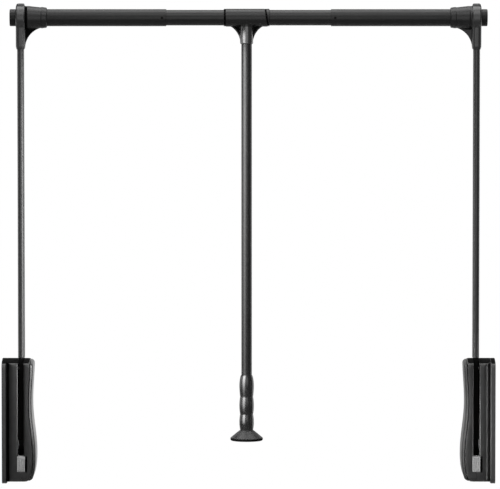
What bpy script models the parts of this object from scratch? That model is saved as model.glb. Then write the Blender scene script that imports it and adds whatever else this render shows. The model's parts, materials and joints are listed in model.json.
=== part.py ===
"""Fold-down clothes rail for a wardrobe, in metres, +Z up.

The origin is on the left wall face, on the swing axis of the arms. +X runs along the rail to the
right wall, -Y is the room side. The right side is the mirror image of the left one.
"""
import math

import bmesh
import bpy
from mathutils import Matrix, Vector

# Fits between pieces, how far a cutting tool runs past a face, and facets of a round
FIT = 0.0003
RUN = 0.0004
PAST = 0.001
ROUND = 24
INNER_ROUND = 16
SMALL_ROUND = 12
AXIS_MARK = 0.03

# Overall sizes
WIDTH = 0.870
ARM_REACH = 0.755
ARM_PLANE = 0.0335
SWING = math.radians(100)

# Arm tube, a flat oval
ARM_THICK = 0.0118
ARM_DEPTH = 0.024
ARM_WALL = 0.0012
ARM_CASE_GAP = 0.0017
ARM_TOP_GAP = 0.002

# Rail tubes
RAIL_OD = 0.030
RAIL_WALL = 0.001
RAIL_START = 0.0247
RAIL_MOUTH = 0.290
INNER_START = 0.060
INNER_WALL = 0.0012
CAP_HEAD = 0.0099
CAP_PLUG = 0.011
CAP_EDGE = 0.0015
LOCK_SCREW_BACK = 0.0073
LOCK_SCREW_OD = 0.0044
LOCK_SCREW_PROUD = 0.0006

# Corner piece
CORNER_WIDTH = 0.0162
CORNER_RADIUS = 0.0225
CORNER_EDGE = 0.0008
CORNER_RELIEF = 0.0001
CORNER_PAD_TOP = 0.025
CORNER_PAD_DEPTH = 0.022
CORNER_PAD_EDGE = 0.002
CORNER_NECK_WALL = 0.0022
CORNER_NECK_TOP = 0.009
CORNER_NECK_DROP = 0.056
CORNER_NECK_FLARE = 0.004
CORNER_NECK_ROUND = 0.006
CORNER_TAPER = 0.0055
CORNER_TAPER_IN = 0.0015
SLEEVE_END = 0.080
SLEEVE_ROOT_RADIUS = 0.0208
SLEEVE_END_RADIUS = 0.0178
SLEEVE_EDGE = 0.001
GUSSET_RADIUS = 0.0375
GUSSET_THICK = 0.009
GUSSET_SINK = 0.0012
GUSSET_ROOT = 0.004
CORNER_SCREW_OD = 0.005
CORNER_SCREW_SINK = 0.0012

# Tee and pull rod
TEE_SHIFT = -0.0035
TEE_LENGTH = 0.081
TEE_OD = 0.0315
TEE_EDGE = 0.0007
TEE_NECK_OD = 0.0234
TEE_NECK_END_OD = 0.0228
TEE_NECK_DROP = 0.0465
TEE_NECK_TAPER = 0.010
TEE_WEB_REACH = 0.0168
TEE_WEB_BEND = 0.0011
TEE_WEB_BEND_DROP = 0.0088
TEE_WEB_RISE = 0.002
TEE_WEB_THICK = 0.007
TEE_WEB_SINK = 0.0006
ROD_OD = 0.0186
ROD_WALL = 0.0012
ROD_TOP_GAP = 0.003
ROD_PIN_OD = 0.004
ROD_PIN_BACK = 0.013
ROD_PIN_SINK = 0.0002
GRIP_TOP = 0.123
GRIP_TOP_BULGE = 0.0385
GRIP_MIDDLE_BULGE = 0.031
GRIP_LOW_BULGE = 0.0275
GRIP_BULGE_RADIUS = 0.0129
GRIP_WAIST_RADIUS = 0.0115
GRIP_LIP_RADIUS = 0.0102
GRIP_FULLNESS = 0.8
BELL_HEIGHT = 0.0186
BELL_RADIUS = 0.0287
BELL_FLARE = 0.95
BELL_RIM = 0.0046
BELL_EDGE = 0.0015
BELL_FOOT = 0.004
BELL_DISH = 0.004
BELL_DISH_RADIUS = 0.0172
BELL_PLUG = 0.012

# Housing
BASE_THICK = 0.009
BASE_FLOOR = 0.003
BASE_RIM = 0.0025
BASE_OVERHANG = 0.002
BASE_BOTTOM_OVERHANG = 0.003
BASE_EDGE = 0.0013
PLATE_THICK = 0.003
CASE_DEPTH = 0.086
CASE_DROP = 0.0625
CASE_TOP_RADIUS = 0.153
CASE_TOP_CORNER = 0.006
CASE_CORNER = 0.008
CASE_CORNER_LEAST = 0.004
CASE_WALL = 0.0024
CASE_SHOULDER_X = 0.012
CASE_SHOULDER_Y = 0.009
SEAM_CHAMFER = 0.0008
SLOT_WIDTH = 0.0094
SLOT_BACK = 0.0105
CAP_GAP = 0.0005
CAP_THICK = 0.0054
CAP_ROUND = 0.0028
WALL_HOLE_OD = 0.0052
WALL_HOLE_INSET = 0.014
WALL_HOLE_BACK_INSET = 0.007
WALL_HOLE_RISE = 0.0175
WALL_HOLE_SINK = 0.0375

# Curved inner face of the housing, as distances from the wall
FACE_TOP_X = 0.0497
FACE_WAIST_X = 0.0465
FACE_WAIST_Z = 0.075
FACE_BELLY_X = 0.0537
FACE_BELLY_Z = -0.018
FACE_FOOT_X = 0.0427
FACE_STATIONS = 10
TOP_SHARES = (0.93, 0.85, 0.65, 0.4, 0.13)

# Swing mechanism
AXLE_OD = 0.012
AXLE_FOOT_OD = 0.010
AXLE_EDGE = 0.0008
BOSS_LENGTH = 0.0038
BUSH_WALL = 0.0012
SPACER_OD = 0.017
HUB_RADIUS = 0.014
TONGUE_WIDTH = 0.018
LEVER_HEAD_LENGTH = 0.0548
LEVER_HEAD_RELIEF = 0.0001
HORN_RADIUS = 0.008
LEVER_PIN_OD = 0.008
LEVER_PIN_PROUD = 0.0004
RIVET_OD = 0.005
RIVET_RISE = 0.0308
STRUT_OD = 0.018
STRUT_EDGE = 0.001
STRUT_SHOULDER = 0.004
STRUT_NECK_OD = 0.0126
STRUT_NECK_LENGTH = 0.010
STRUT_EYE_SINK = 0.0185
STRUT_EYE_THICK = 0.010
STRUT_ROD_OD = 0.008
STRUT_ROD_HELD = 0.008
STRUT_END_GAP = 0.002
STRUT_CLEAR = 0.003
ANCHOR_PIN_OD = 0.008
YOKE_CHEEK = 0.004
YOKE_SIDE_PLAY = 0.0005
YOKE_BRIDGE_WALL = 0.0022
YOKE_BRIDGE_Z = 0.021
YOKE_BRIDGE_THICK = 0.006
YOKE_WALL = 0.0036
YOKE_PLAY = 0.0004
YOKE_BACK_GAP = 0.0026
UP_STOP_OD = 0.012
UP_STOP_ALONG = 0.015
BUFFER_WIDTH = 0.014
BUFFER_HEIGHT = 0.0271
BUFFER_PROUD = 0.002
BUFFER_FLANGE = 0.003
BUFFER_DEPTH = 0.0045
BUFFER_EDGE = 0.0015

# Sizes that follow from those above
RAIL_RADIUS = RAIL_OD / 2
RAIL_BORE = RAIL_RADIUS - RAIL_WALL
INNER_RADIUS = RAIL_BORE - FIT
ROD_RADIUS = ROD_OD / 2
ROD_X = WIDTH / 2 + TEE_SHIFT
ARM_START = CASE_TOP_RADIUS + ARM_CASE_GAP
ARM_END = ARM_REACH - RAIL_RADIUS - ARM_TOP_GAP
LEVER_TOP = ARM_START + LEVER_HEAD_LENGTH
RIVET_Z = ARM_START + RIVET_RISE
LEVER_THICK = ARM_THICK - 2 * ARM_WALL - 2 * FIT
LEVER_HEAD_WIDTH = ARM_DEPTH - 2 * ARM_WALL - 2 * FIT
LEVER_NEAR = ARM_PLANE - LEVER_THICK / 2
LEVER_FAR = ARM_PLANE + LEVER_THICK / 2
BASE_DROP = CASE_DROP + BASE_BOTTOM_OVERHANG - BASE_OVERHANG
BASE_TOP_RADIUS = CASE_TOP_RADIUS - BASE_OVERHANG
CASE_HALF = CASE_DEPTH / 2
CASE_START = BASE_THICK + FIT
CASE_SPLIT = FIT / 2
PLATE_START = BASE_FLOOR + FIT
PLATE_END = PLATE_START + PLATE_THICK
HORN_ANGLE = SWING / 2
HORN_LENGTH = CASE_HALF - CASE_WALL - YOKE_BACK_GAP - YOKE_WALL - YOKE_PLAY - LEVER_PIN_OD / 2
PIN_Y = HORN_LENGTH * math.cos(HORN_ANGLE)
PIN_Z = -HORN_LENGTH * math.sin(HORN_ANGLE)
STRUT_TRAVEL = 2 * HORN_LENGTH * math.sin(HORN_ANGLE)
STRUT_Y = (PIN_Y + HORN_LENGTH) / 2
YOKE_BRIDGE_START = STRUT_Y - STRUT_ROD_OD / 2 - FIT - YOKE_BRIDGE_WALL
YOKE_BRIDGE_LOW = PIN_Z + YOKE_BRIDGE_Z
YOKE_TOP = YOKE_BRIDGE_LOW + YOKE_BRIDGE_THICK
STRUT_BOTTOM = YOKE_TOP + STRUT_TRAVEL + STRUT_CLEAR
STRUT_ROD_TOP = STRUT_BOTTOM + STRUT_ROD_HELD
STRUT_BORE_TOP = STRUT_ROD_TOP + STRUT_TRAVEL + STRUT_END_GAP
STRUT_EYE_Z = CASE_TOP_RADIUS - STRUT_EYE_SINK
STRUT_TOP = STRUT_EYE_Z - STRUT_NECK_LENGTH
GRIP_BULGES = (GRIP_TOP_BULGE, GRIP_MIDDLE_BULGE, GRIP_LOW_BULGE)
GRIP_BOTTOM = GRIP_TOP - sum(GRIP_BULGES)
BELL_BOTTOM = GRIP_BOTTOM - FIT - BELL_HEIGHT
BUFFER_SLOPE = math.tan(SWING - math.pi / 2)
BUFFER_TOP = -TONGUE_WIDTH / 2 / math.cos(SWING - math.pi / 2) - FIT


def clear_scene():
    for item in list(bpy.data.objects):
        bpy.data.objects.remove(item, do_unlink=True)


def make_material(name, grey, roughness, metallic):
    material = bpy.data.materials.new(name)
    material.use_nodes = True
    shader = material.node_tree.nodes["Principled BSDF"]
    shader.inputs["Base Color"].default_value = (grey, grey, grey, 1.0)
    shader.inputs["Roughness"].default_value = roughness
    shader.inputs["Metallic"].default_value = metallic
    return material


def make_empty(name, location, mirrored=False):
    empty = bpy.data.objects.new(name, None)
    empty.empty_display_size = AXIS_MARK
    empty.location = location
    if mirrored:
        empty.scale = (-1.0, 1.0, 1.0)
    bpy.context.collection.objects.link(empty)
    return empty


def closed_body(bm):
    """Turn a bmesh into a working object with its faces pointing outward."""
    bmesh.ops.remove_doubles(bm, verts=bm.verts, dist=1e-7)
    bmesh.ops.recalc_face_normals(bm, faces=bm.faces)
    mesh = bpy.data.meshes.new("body")
    bm.to_mesh(mesh)
    bm.free()
    body = bpy.data.objects.new("body", mesh)
    bpy.context.collection.objects.link(body)
    return body


def turned(profile, centre, axis, segments=ROUND, hollow=False):
    """Spin (radius, along) points about an axis through centre, along X, Y or Z."""
    bm = bmesh.new()
    verts = [bm.verts.new((radius, 0.0, along)) for radius, along in profile]
    edges = [bm.edges.new(pair) for pair in zip(verts, verts[1:])]
    if hollow:
        edges.append(bm.edges.new((verts[-1], verts[0])))
    bmesh.ops.spin(bm, geom=verts + edges, cent=(0, 0, 0), axis=(0, 0, 1), angle=2 * math.pi,
                   steps=segments, use_merge=True)
    bmesh.ops.remove_doubles(bm, verts=bm.verts, dist=1e-7)
    turn = {"X": Matrix.Rotation(math.pi / 2, 4, "Y"),
            "Y": Matrix.Rotation(-math.pi / 2, 4, "X"),
            "Z": Matrix.Identity(4)}[axis]
    bm.transform(Matrix.Translation(centre) @ turn)
    return closed_body(bm)


def cylinder(radius, start, end, centre, axis, segments=ROUND):
    return turned([(0, start), (radius, start), (radius, end), (0, end)], centre, axis, segments)


def ring(outer, inner, start, end, centre, axis, segments=ROUND):
    profile = [(inner, start), (outer, start), (outer, end), (inner, end)]
    return turned(profile, centre, axis, segments, hollow=True)


def bore_radius(radius, segments):
    """Radius of a faceted hole whose flats stay clear of a round of this radius."""
    return radius / math.cos(math.pi / segments)


def skin(loops, wrap=False):
    """Join equal loops of points into one body, with flat ends unless it wraps round."""
    bm = bmesh.new()
    rows = [[bm.verts.new(point) for point in loop] for loop in loops]
    pairs = list(zip(rows, rows[1:]))
    if wrap:
        pairs.append((rows[-1], rows[0]))
    for near, far in pairs:
        for i in range(len(near)):
            j = (i + 1) % len(near)
            bm.faces.new((near[i], near[j], far[j], far[i]))
    if not wrap:
        bm.faces.new(rows[0])
        bm.faces.new(rows[-1])
    return closed_body(bm)


def stack(loops):
    """Join loops that are mirrored front to back, closing both ends with level strips."""
    bm = bmesh.new()
    rows = [[bm.verts.new(point) for point in loop] for loop in loops]
    for near, far in zip(rows, rows[1:]):
        for i in range(len(near)):
            j = (i + 1) % len(near)
            bm.faces.new((near[i], near[j], far[j], far[i]))
    for row in (rows[0], rows[-1]):
        half = len(row) // 2
        for i in range(half - 1):
            bm.faces.new((row[i], row[i + 1], row[-2 - i], row[-1 - i]))
    return closed_body(bm)


def prism(outline, start, end, axis):
    """Extrude a flat outline: (y, z) points along X, or (x, z) points along Y."""
    if axis == "X":
        loops = [[(level, y, z) for y, z in outline] for level in (start, end)]
    else:
        loops = [[(x, level, z) for x, z in outline] for level in (start, end)]
    return skin(loops)


def box(low, high):
    outline = [(low[1], low[2]), (high[1], low[2]), (high[1], high[2]), (low[1], high[2])]
    return prism(outline, low[0], high[0], "X")


def combine(body, tool, operation):
    """Apply one Boolean to a working object and drop the tool."""
    modifier = body.modifiers.new("combine", "BOOLEAN")
    modifier.operation = operation
    modifier.solver = "EXACT"
    modifier.object = tool
    bpy.context.view_layer.update()
    graph = bpy.context.evaluated_depsgraph_get()
    mesh = bpy.data.meshes.new_from_object(body.evaluated_get(graph))
    bm = bmesh.new()
    bm.from_mesh(mesh)
    bmesh.ops.triangulate(bm, faces=bm.faces)
    bm.to_mesh(mesh)
    bm.free()
    body.modifiers.clear()
    body.data = mesh
    bpy.data.objects.remove(tool, do_unlink=True)
    return body


def cut(body, *tools):
    for tool in tools:
        combine(body, tool, "DIFFERENCE")
    return body


def join(body, *tools):
    for tool in tools:
        combine(body, tool, "UNION")
    return body


def arc(centre, radius, start, end, steps):
    """Points on an arc between two angles in degrees, both ends included."""
    angles = [math.radians(start + (end - start) * i / steps) for i in range(steps + 1)]
    return [(centre[0] + radius * math.cos(a), centre[1] + radius * math.sin(a)) for a in angles]


def bend(start, control, end, steps):
    """Points on a curve that leaves start and reaches end in line with the control point."""
    points = []
    for i in range(steps + 1):
        t = i / steps
        weights = ((1 - t) ** 2, 2 * t * (1 - t), t * t)
        points.append(tuple(sum(w * p[k] for w, p in zip(weights, (start, control, end))) for k in (0, 1)))
    return points


def oval(thick, depth, steps=6):
    """Flat oval in (x, y) about the arm plane: straight flanks with round ends."""
    radius = thick / 2
    straight = depth / 2 - radius
    points = arc((ARM_PLANE, straight), radius, 0, 180, steps)
    points += arc((ARM_PLANE, -straight), radius, 180, 360, steps)
    return points


def rounded_box(thick, depth, radius, z):
    """Level loop about the arm plane with rounded corners."""
    x = thick / 2 - radius
    y = depth / 2 - radius
    corners = ((x, y, 0), (-x, y, 90), (-x, -y, 180), (x, -y, 270))
    loop = []
    for dx, dy, start in corners:
        loop += [(px, py, z) for px, py in arc((ARM_PLANE + dx, dy), radius, start, start + 90, 3)]
    return loop


def face_x(z):
    """Distance of the curved inner face from the wall at height z."""
    if z >= FACE_WAIST_Z:
        t = min((z - FACE_WAIST_Z) / (CASE_TOP_RADIUS - FACE_WAIST_Z), 1.0)
        return FACE_WAIST_X + (FACE_TOP_X - FACE_WAIST_X) * (1 - math.cos(math.pi * t)) / 2
    if z >= FACE_BELLY_Z:
        t = (FACE_WAIST_Z - z) / (FACE_WAIST_Z - FACE_BELLY_Z)
        return FACE_WAIST_X + (FACE_BELLY_X - FACE_WAIST_X) * (1 - math.cos(math.pi * t)) / 2
    t = min((FACE_BELLY_Z - z) / (CASE_DROP + FACE_BELLY_Z), 1.0)
    return FACE_FOOT_X + (FACE_BELLY_X - FACE_FOOT_X) * math.sqrt(1 - t * t)


def side_outline(inset, stations=1, drop=CASE_DROP, top=CASE_TOP_RADIUS):
    """Side view of the housing as (y, z), mirrored front to back, drawn in by inset."""
    reach = CASE_HALF - inset
    bottom = inset - drop
    corner = max(CASE_CORNER - inset, CASE_CORNER_LEAST)
    top_radius = top - inset
    half = arc((reach - corner, bottom + corner), corner, -90, 0, 4)
    shoulder = math.sqrt(top_radius ** 2 - reach ** 2) - CASE_TOP_CORNER
    low = half[-1][1]
    for i in range(1, stations + 1):
        half.append((reach, low + (shoulder - low) * i / stations))
    for share in TOP_SHARES:
        y = reach * share
        half.append((y, math.sqrt(top_radius ** 2 - y ** 2)))
    return half + [(-y, z) for y, z in reversed(half)]


def side_loop(x, inset, stations=1):
    """Side outline of the case at a fixed distance from the wall."""
    return [(x, y, z) for y, z in side_outline(inset, stations)]


def shoulder_loop(x, inset):
    """Full-height outline of the case, drawn in by inset at the front and back only."""
    limit = CASE_HALF - inset
    return [(x, max(-limit, min(limit, y)), z) for y, z in side_outline(0.0)]


def base_loop(x, inset):
    """Side outline of the base, which stands out past the case except at the top."""
    outline = side_outline(inset - BASE_OVERHANG, drop=BASE_DROP, top=BASE_TOP_RADIUS)
    return [(x, y, z) for y, z in outline]


def face_loop(offset, inset):
    """Side outline that follows the curved inner face."""
    outline = side_outline(inset, FACE_STATIONS)
    return [(face_x(z) + offset, y, z) for y, z in outline]


def quarter(steps):
    """Sines and cosines of even steps over a quarter turn."""
    angles = [math.pi / 2 * i / steps for i in range(steps + 1)]
    return [(math.sin(a), math.cos(a)) for a in angles]


def build_base():
    loops = [base_loop(BASE_FLOOR, BASE_RIM), base_loop(BASE_THICK, BASE_RIM)]
    for sine, cosine in quarter(2):
        loops.append(base_loop(BASE_THICK - BASE_EDGE * (1 - cosine), BASE_EDGE * (1 - sine)))
    loops.append(base_loop(0.0, 0.0))
    return cut(stack(loops), *wall_holes(-PAST, BASE_FLOOR + PAST))


def wall_holes(start, end):
    """Tools for the four screw holes; the upper back one stands clear of the strut."""
    front = WALL_HOLE_INSET - CASE_HALF
    low = WALL_HOLE_RISE - CASE_DROP
    high = CASE_TOP_RADIUS - WALL_HOLE_SINK
    points = ((front, low), (-front, low), (front, high), (CASE_HALF - WALL_HOLE_BACK_INSET, high))
    return [cylinder(WALL_HOLE_OD / 2, start, end, (0, y, z), "X", SMALL_ROUND) for y, z in points]


def build_wall_plate():
    inset = BASE_RIM + FIT
    start = PLATE_START - PAST
    end = PLATE_END + PAST
    body = stack([base_loop(PLATE_START, inset), base_loop(PLATE_END, inset)])
    cut(body, *wall_holes(start, end))
    pins = ((AXLE_FOOT_OD, 0.0, 0.0), (ANCHOR_PIN_OD, STRUT_Y, STRUT_EYE_Z))
    for diameter, y, z in pins:
        cut(body, cylinder(diameter / 2 + FIT, start, end, (0, y, z), "X", INNER_ROUND))
    return body


def slot_tools():
    """Solids that open the front and top of the case for the lever and the buffer."""
    front = -CASE_HALF - PAST
    low_x = ARM_PLANE - SLOT_WIDTH / 2
    high_x = ARM_PLANE + SLOT_WIDTH / 2
    slot = box((low_x, front, buffer_front_top()), (high_x, SLOT_BACK, CASE_TOP_RADIUS + PAST))
    half = BUFFER_WIDTH / 2 + FIT
    low_z = buffer_front_top() - BUFFER_HEIGHT - FIT
    high_z = buffer_front_top() + (BUFFER_PROUD + CASE_WALL) * BUFFER_SLOPE + FIT
    window = box((ARM_PLANE - half, front, low_z), (ARM_PLANE + half, buffer_back(), high_z))
    return slot, window


def buffer_front_top():
    """Height of the buffer's top edge where it meets the lowered lever."""
    return BUFFER_TOP - (CASE_HALF + BUFFER_PROUD) * BUFFER_SLOPE


def buffer_back():
    return CASE_WALL + FIT + BUFFER_DEPTH - CASE_HALF


def build_outer_shell():
    turns = quarter(5)
    end = ARM_PLANE - CASE_SPLIT
    inner_x = CASE_SHOULDER_X - CASE_WALL
    inner_y = CASE_SHOULDER_Y - CASE_WALL
    loops = []
    for sine, cosine in turns:
        loops.append(shoulder_loop(CASE_START + CASE_SHOULDER_X * (1 - cosine), CASE_SHOULDER_Y * (1 - sine)))
    loops.append(side_loop(end, 0.0))
    loops.append(side_loop(end, CASE_WALL))
    for sine, cosine in reversed(turns[2:]):
        x = CASE_START + CASE_WALL + inner_x * (1 - cosine)
        loops.append(side_loop(x, CASE_WALL + inner_y * (1 - sine)))
    loops.append(side_loop(CASE_START + CASE_WALL, CASE_SHOULDER_Y))
    loops.append(side_loop(CASE_START, CASE_SHOULDER_Y + CASE_WALL))
    return cut(skin(loops, wrap=True), *slot_tools())


def build_inner_shell():
    start = ARM_PLANE + CASE_SPLIT
    body = stack([
        face_loop(-CASE_WALL, CASE_WALL),
        side_loop(start, CASE_WALL, FACE_STATIONS),
        side_loop(start, 0.0, FACE_STATIONS),
        face_loop(-SEAM_CHAMFER, 0.0),
        face_loop(0.0, SEAM_CHAMFER),
    ])
    end = face_x(0.0) - CASE_WALL * 2 / 3
    boss = ring(SPACER_OD / 2, AXLE_OD / 2 + FIT, spacer_end() + FIT, end, (0, 0, 0), "X", INNER_ROUND)
    return join(cut(body, *slot_tools()), boss)


def build_side_cap():
    top = CAP_GAP + CAP_THICK
    loops = [face_loop(CAP_GAP, SEAM_CHAMFER), face_loop(CAP_GAP + SEAM_CHAMFER, 0.0)]
    for sine, cosine in quarter(3):
        loops.append(face_loop(top - CAP_ROUND * (1 - sine), CAP_ROUND * (1 - cosine)))
    return stack(loops)


def spacer_end():
    return face_x(0.0) - CASE_WALL - BOSS_LENGTH


def build_axle():
    foot = AXLE_FOOT_OD / 2
    radius = AXLE_OD / 2
    start = PLATE_END + FIT
    end = face_x(AXLE_OD) - CASE_WALL - FIT
    profile = [(0, PLATE_START + FIT), (foot, PLATE_START + FIT), (foot, start), (radius, start),
               (radius, end - AXLE_EDGE), (radius - AXLE_EDGE, end), (0, end)]
    return turned(profile, (0, 0, 0), "X", INNER_ROUND)


def build_spacer(start, end):
    return ring(SPACER_OD / 2, AXLE_OD / 2 + FIT, start, end, (0, 0, 0), "X", INNER_ROUND)


def bush_radius():
    return bush_bore() + BUSH_WALL


def bush_bore():
    return bore_radius(AXLE_OD / 2 + FIT, INNER_ROUND)


def build_bush():
    return ring(bush_radius(), bush_bore(), LEVER_NEAR, LEVER_FAR, (0, 0, 0), "X", INNER_ROUND)


def build_lever():
    """Flat lever: tongue and head for the arm, hub on the axle, horn for the strut."""
    half = TONGUE_WIDTH / 2
    top = ARM_START - FIT
    meet = math.degrees(math.acos(half / HUB_RADIUS))
    lean = math.degrees(math.acos((HUB_RADIUS - HORN_RADIUS) / HORN_LENGTH))
    horn = -math.degrees(HORN_ANGLE)
    outline = [(half, top), (-half, top)]
    outline += arc((0, 0), HUB_RADIUS, 180 - meet, 360 + horn - lean, 8)
    outline += arc((PIN_Y, PIN_Z), HORN_RADIUS, horn - lean, horn + lean, 10)
    outline += arc((0, 0), HUB_RADIUS, horn + lean, meet, 2)
    body = prism(outline, LEVER_NEAR, LEVER_FAR, "X")
    head = oval(LEVER_THICK - 2 * LEVER_HEAD_RELIEF, LEVER_HEAD_WIDTH)
    join(body, skin([[(x, y, z) for x, y in head] for z in (top - PAST, LEVER_TOP)]))
    holes = ((bush_radius() + FIT, 0.0, 0.0, INNER_ROUND),
             (LEVER_PIN_OD / 2 + FIT, PIN_Y, PIN_Z, INNER_ROUND),
             (RIVET_OD / 2 + FIT, 0.0, RIVET_Z, SMALL_ROUND))
    for radius, y, z, segments in holes:
        tool = cylinder(radius, LEVER_NEAR - PAST, LEVER_FAR + PAST, (0, y, z), "X", segments)
        cut(body, tool)
    return body


def yoke_edges():
    """Outer edges of the yoke along X and the edges of its channel."""
    channel = LEVER_THICK / 2 + YOKE_SIDE_PLAY
    edge = channel + YOKE_CHEEK
    return ARM_PLANE - edge, ARM_PLANE - channel, ARM_PLANE + channel, ARM_PLANE + edge


def build_lever_pin():
    near, _, _, far = yoke_edges()
    start = near - LEVER_PIN_PROUD
    end = far + LEVER_PIN_PROUD
    return cylinder(LEVER_PIN_OD / 2, start, end, (0, PIN_Y, PIN_Z), "X", INNER_ROUND)


def pin_wander():
    """Largest lift of the horn's pin off the strut's even travel over the swing."""
    worst = 0.0
    for i in range(101):
        turn = SWING * i / 100
        lift = HORN_LENGTH * (math.sin(turn - HORN_ANGLE) + math.sin(HORN_ANGLE))
        worst = max(worst, abs(lift - STRUT_TRAVEL * turn / SWING))
    return worst


def build_yoke():
    """Fork over the horn, with a cross slot in each cheek for the horn's pin."""
    near, inner_near, inner_far, far = yoke_edges()
    pin = LEVER_PIN_OD / 2
    half_slot = pin + pin_wander() + YOKE_PLAY
    front = PIN_Y - pin - YOKE_PLAY
    back = HORN_LENGTH + pin + YOKE_PLAY
    low = PIN_Z - half_slot - YOKE_WALL
    step = PIN_Z + half_slot + YOKE_WALL
    outline = [(front - YOKE_WALL, low), (back + YOKE_WALL, low), (back + YOKE_WALL, YOKE_TOP),
               (YOKE_BRIDGE_START, YOKE_TOP), (YOKE_BRIDGE_START, step), (front - YOKE_WALL, step)]
    body = prism(outline, near, far, "X")
    cut(body, box((inner_near, 0.0, low - PAST), (inner_far, back + YOKE_WALL + PAST, YOKE_BRIDGE_LOW)))
    slot = arc((back - half_slot, PIN_Z), half_slot, -90, 90, 8)
    slot += arc((front + half_slot, PIN_Z), half_slot, 90, 270, 8)
    cut(body, prism(slot, near - PAST, far + PAST, "X"))
    hole = cylinder(STRUT_ROD_OD / 2 + FIT, YOKE_BRIDGE_LOW - PAST, YOKE_TOP + PAST,
                    (ARM_PLANE, STRUT_Y, 0), "Z", INNER_ROUND)
    return cut(body, hole)


def build_strut_rod():
    start = YOKE_BRIDGE_LOW + FIT
    radius = STRUT_ROD_OD / 2
    return cylinder(radius, start, STRUT_ROD_TOP, (ARM_PLANE, STRUT_Y, 0), "Z", INNER_ROUND)


def build_strut_cylinder():
    radius = STRUT_OD / 2
    neck = STRUT_NECK_OD / 2
    edge = STRUT_EDGE
    profile = [(0, STRUT_BOTTOM), (radius - edge, STRUT_BOTTOM), (radius, STRUT_BOTTOM + edge),
               (radius, STRUT_TOP - STRUT_SHOULDER), (neck, STRUT_TOP), (neck, STRUT_EYE_Z), (0, STRUT_EYE_Z)]
    axis = (ARM_PLANE, STRUT_Y, 0)
    body = turned(profile, axis, "Z", INNER_ROUND)
    near = ARM_PLANE - STRUT_EYE_THICK / 2
    far = ARM_PLANE + STRUT_EYE_THICK / 2
    centre = (0, STRUT_Y, STRUT_EYE_Z)
    eye = cylinder(radius, near, far, centre, "X", INNER_ROUND)
    bore = cylinder(STRUT_ROD_OD / 2 + FIT, STRUT_BOTTOM - PAST, STRUT_BORE_TOP, axis, "Z", INNER_ROUND)
    hole = cylinder(ANCHOR_PIN_OD / 2 + FIT, near - PAST - neck, far + PAST + neck, centre, "X", INNER_ROUND)
    return cut(join(body, eye), bore, hole)


def build_anchor_pin():
    radius = ANCHOR_PIN_OD / 2
    start = PLATE_START + FIT
    end = face_x(STRUT_EYE_Z - radius) - CASE_WALL - FIT
    return cylinder(radius, start, end, (0, STRUT_Y, STRUT_EYE_Z), "X", INNER_ROUND)


def build_up_stop():
    """Rubber post under the horn that holds the raised arm upright."""
    lean = math.acos((HUB_RADIUS - HORN_RADIUS) / HORN_LENGTH)
    angle = -HORN_ANGLE - lean
    normal = Vector((math.cos(angle), math.sin(angle)))
    along = Vector((-normal.y, normal.x))
    centre = normal * (HUB_RADIUS + UP_STOP_OD / 2 + FIT) + along * UP_STOP_ALONG
    start = PLATE_END + FIT
    return cylinder(UP_STOP_OD / 2, start, LEVER_FAR, (0, centre.x, centre.y), "X", INNER_ROUND)


def build_buffer():
    """Rubber block that the lowered lever lands on, flanged behind the case wall."""
    front = -CASE_HALF - BUFFER_PROUD
    inside = CASE_WALL + FIT - CASE_HALF
    back = buffer_back()
    top = buffer_front_top()
    bottom = top - BUFFER_HEIGHT
    edge = BUFFER_EDGE
    outline = [(front + edge, bottom), (back, bottom), (back, top + (back - front) * BUFFER_SLOPE),
               (front + edge, top), (front, top - edge), (front, bottom + edge)]
    half = BUFFER_WIDTH / 2
    body = prism(outline, ARM_PLANE - half, ARM_PLANE + half, "X")
    wide = half + BUFFER_FLANGE
    flange = box((ARM_PLANE - wide, inside, bottom + BUFFER_FLANGE),
                 (ARM_PLANE + wide, back, top - BUFFER_FLANGE))
    return join(body, flange)


def build_arm_tube():
    outer = oval(ARM_THICK, ARM_DEPTH)
    inner = oval(ARM_THICK - 2 * ARM_WALL, ARM_DEPTH - 2 * ARM_WALL)
    loops = [[(x, y, z) for x, y in outline] for outline, z in
             ((inner, ARM_START), (outer, ARM_START), (outer, ARM_END), (inner, ARM_END))]
    body = skin(loops, wrap=True)
    half = ARM_THICK / 2 + PAST
    hole = cylinder(RIVET_OD / 2 + FIT, ARM_PLANE - half, ARM_PLANE + half, (0, 0, RIVET_Z), "X", SMALL_ROUND)
    return cut(body, hole)


def build_rivet():
    half = ARM_THICK / 2
    return cylinder(RIVET_OD / 2, ARM_PLANE - half, ARM_PLANE + half, (0, 0, RIVET_Z), "X", SMALL_ROUND)


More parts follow.
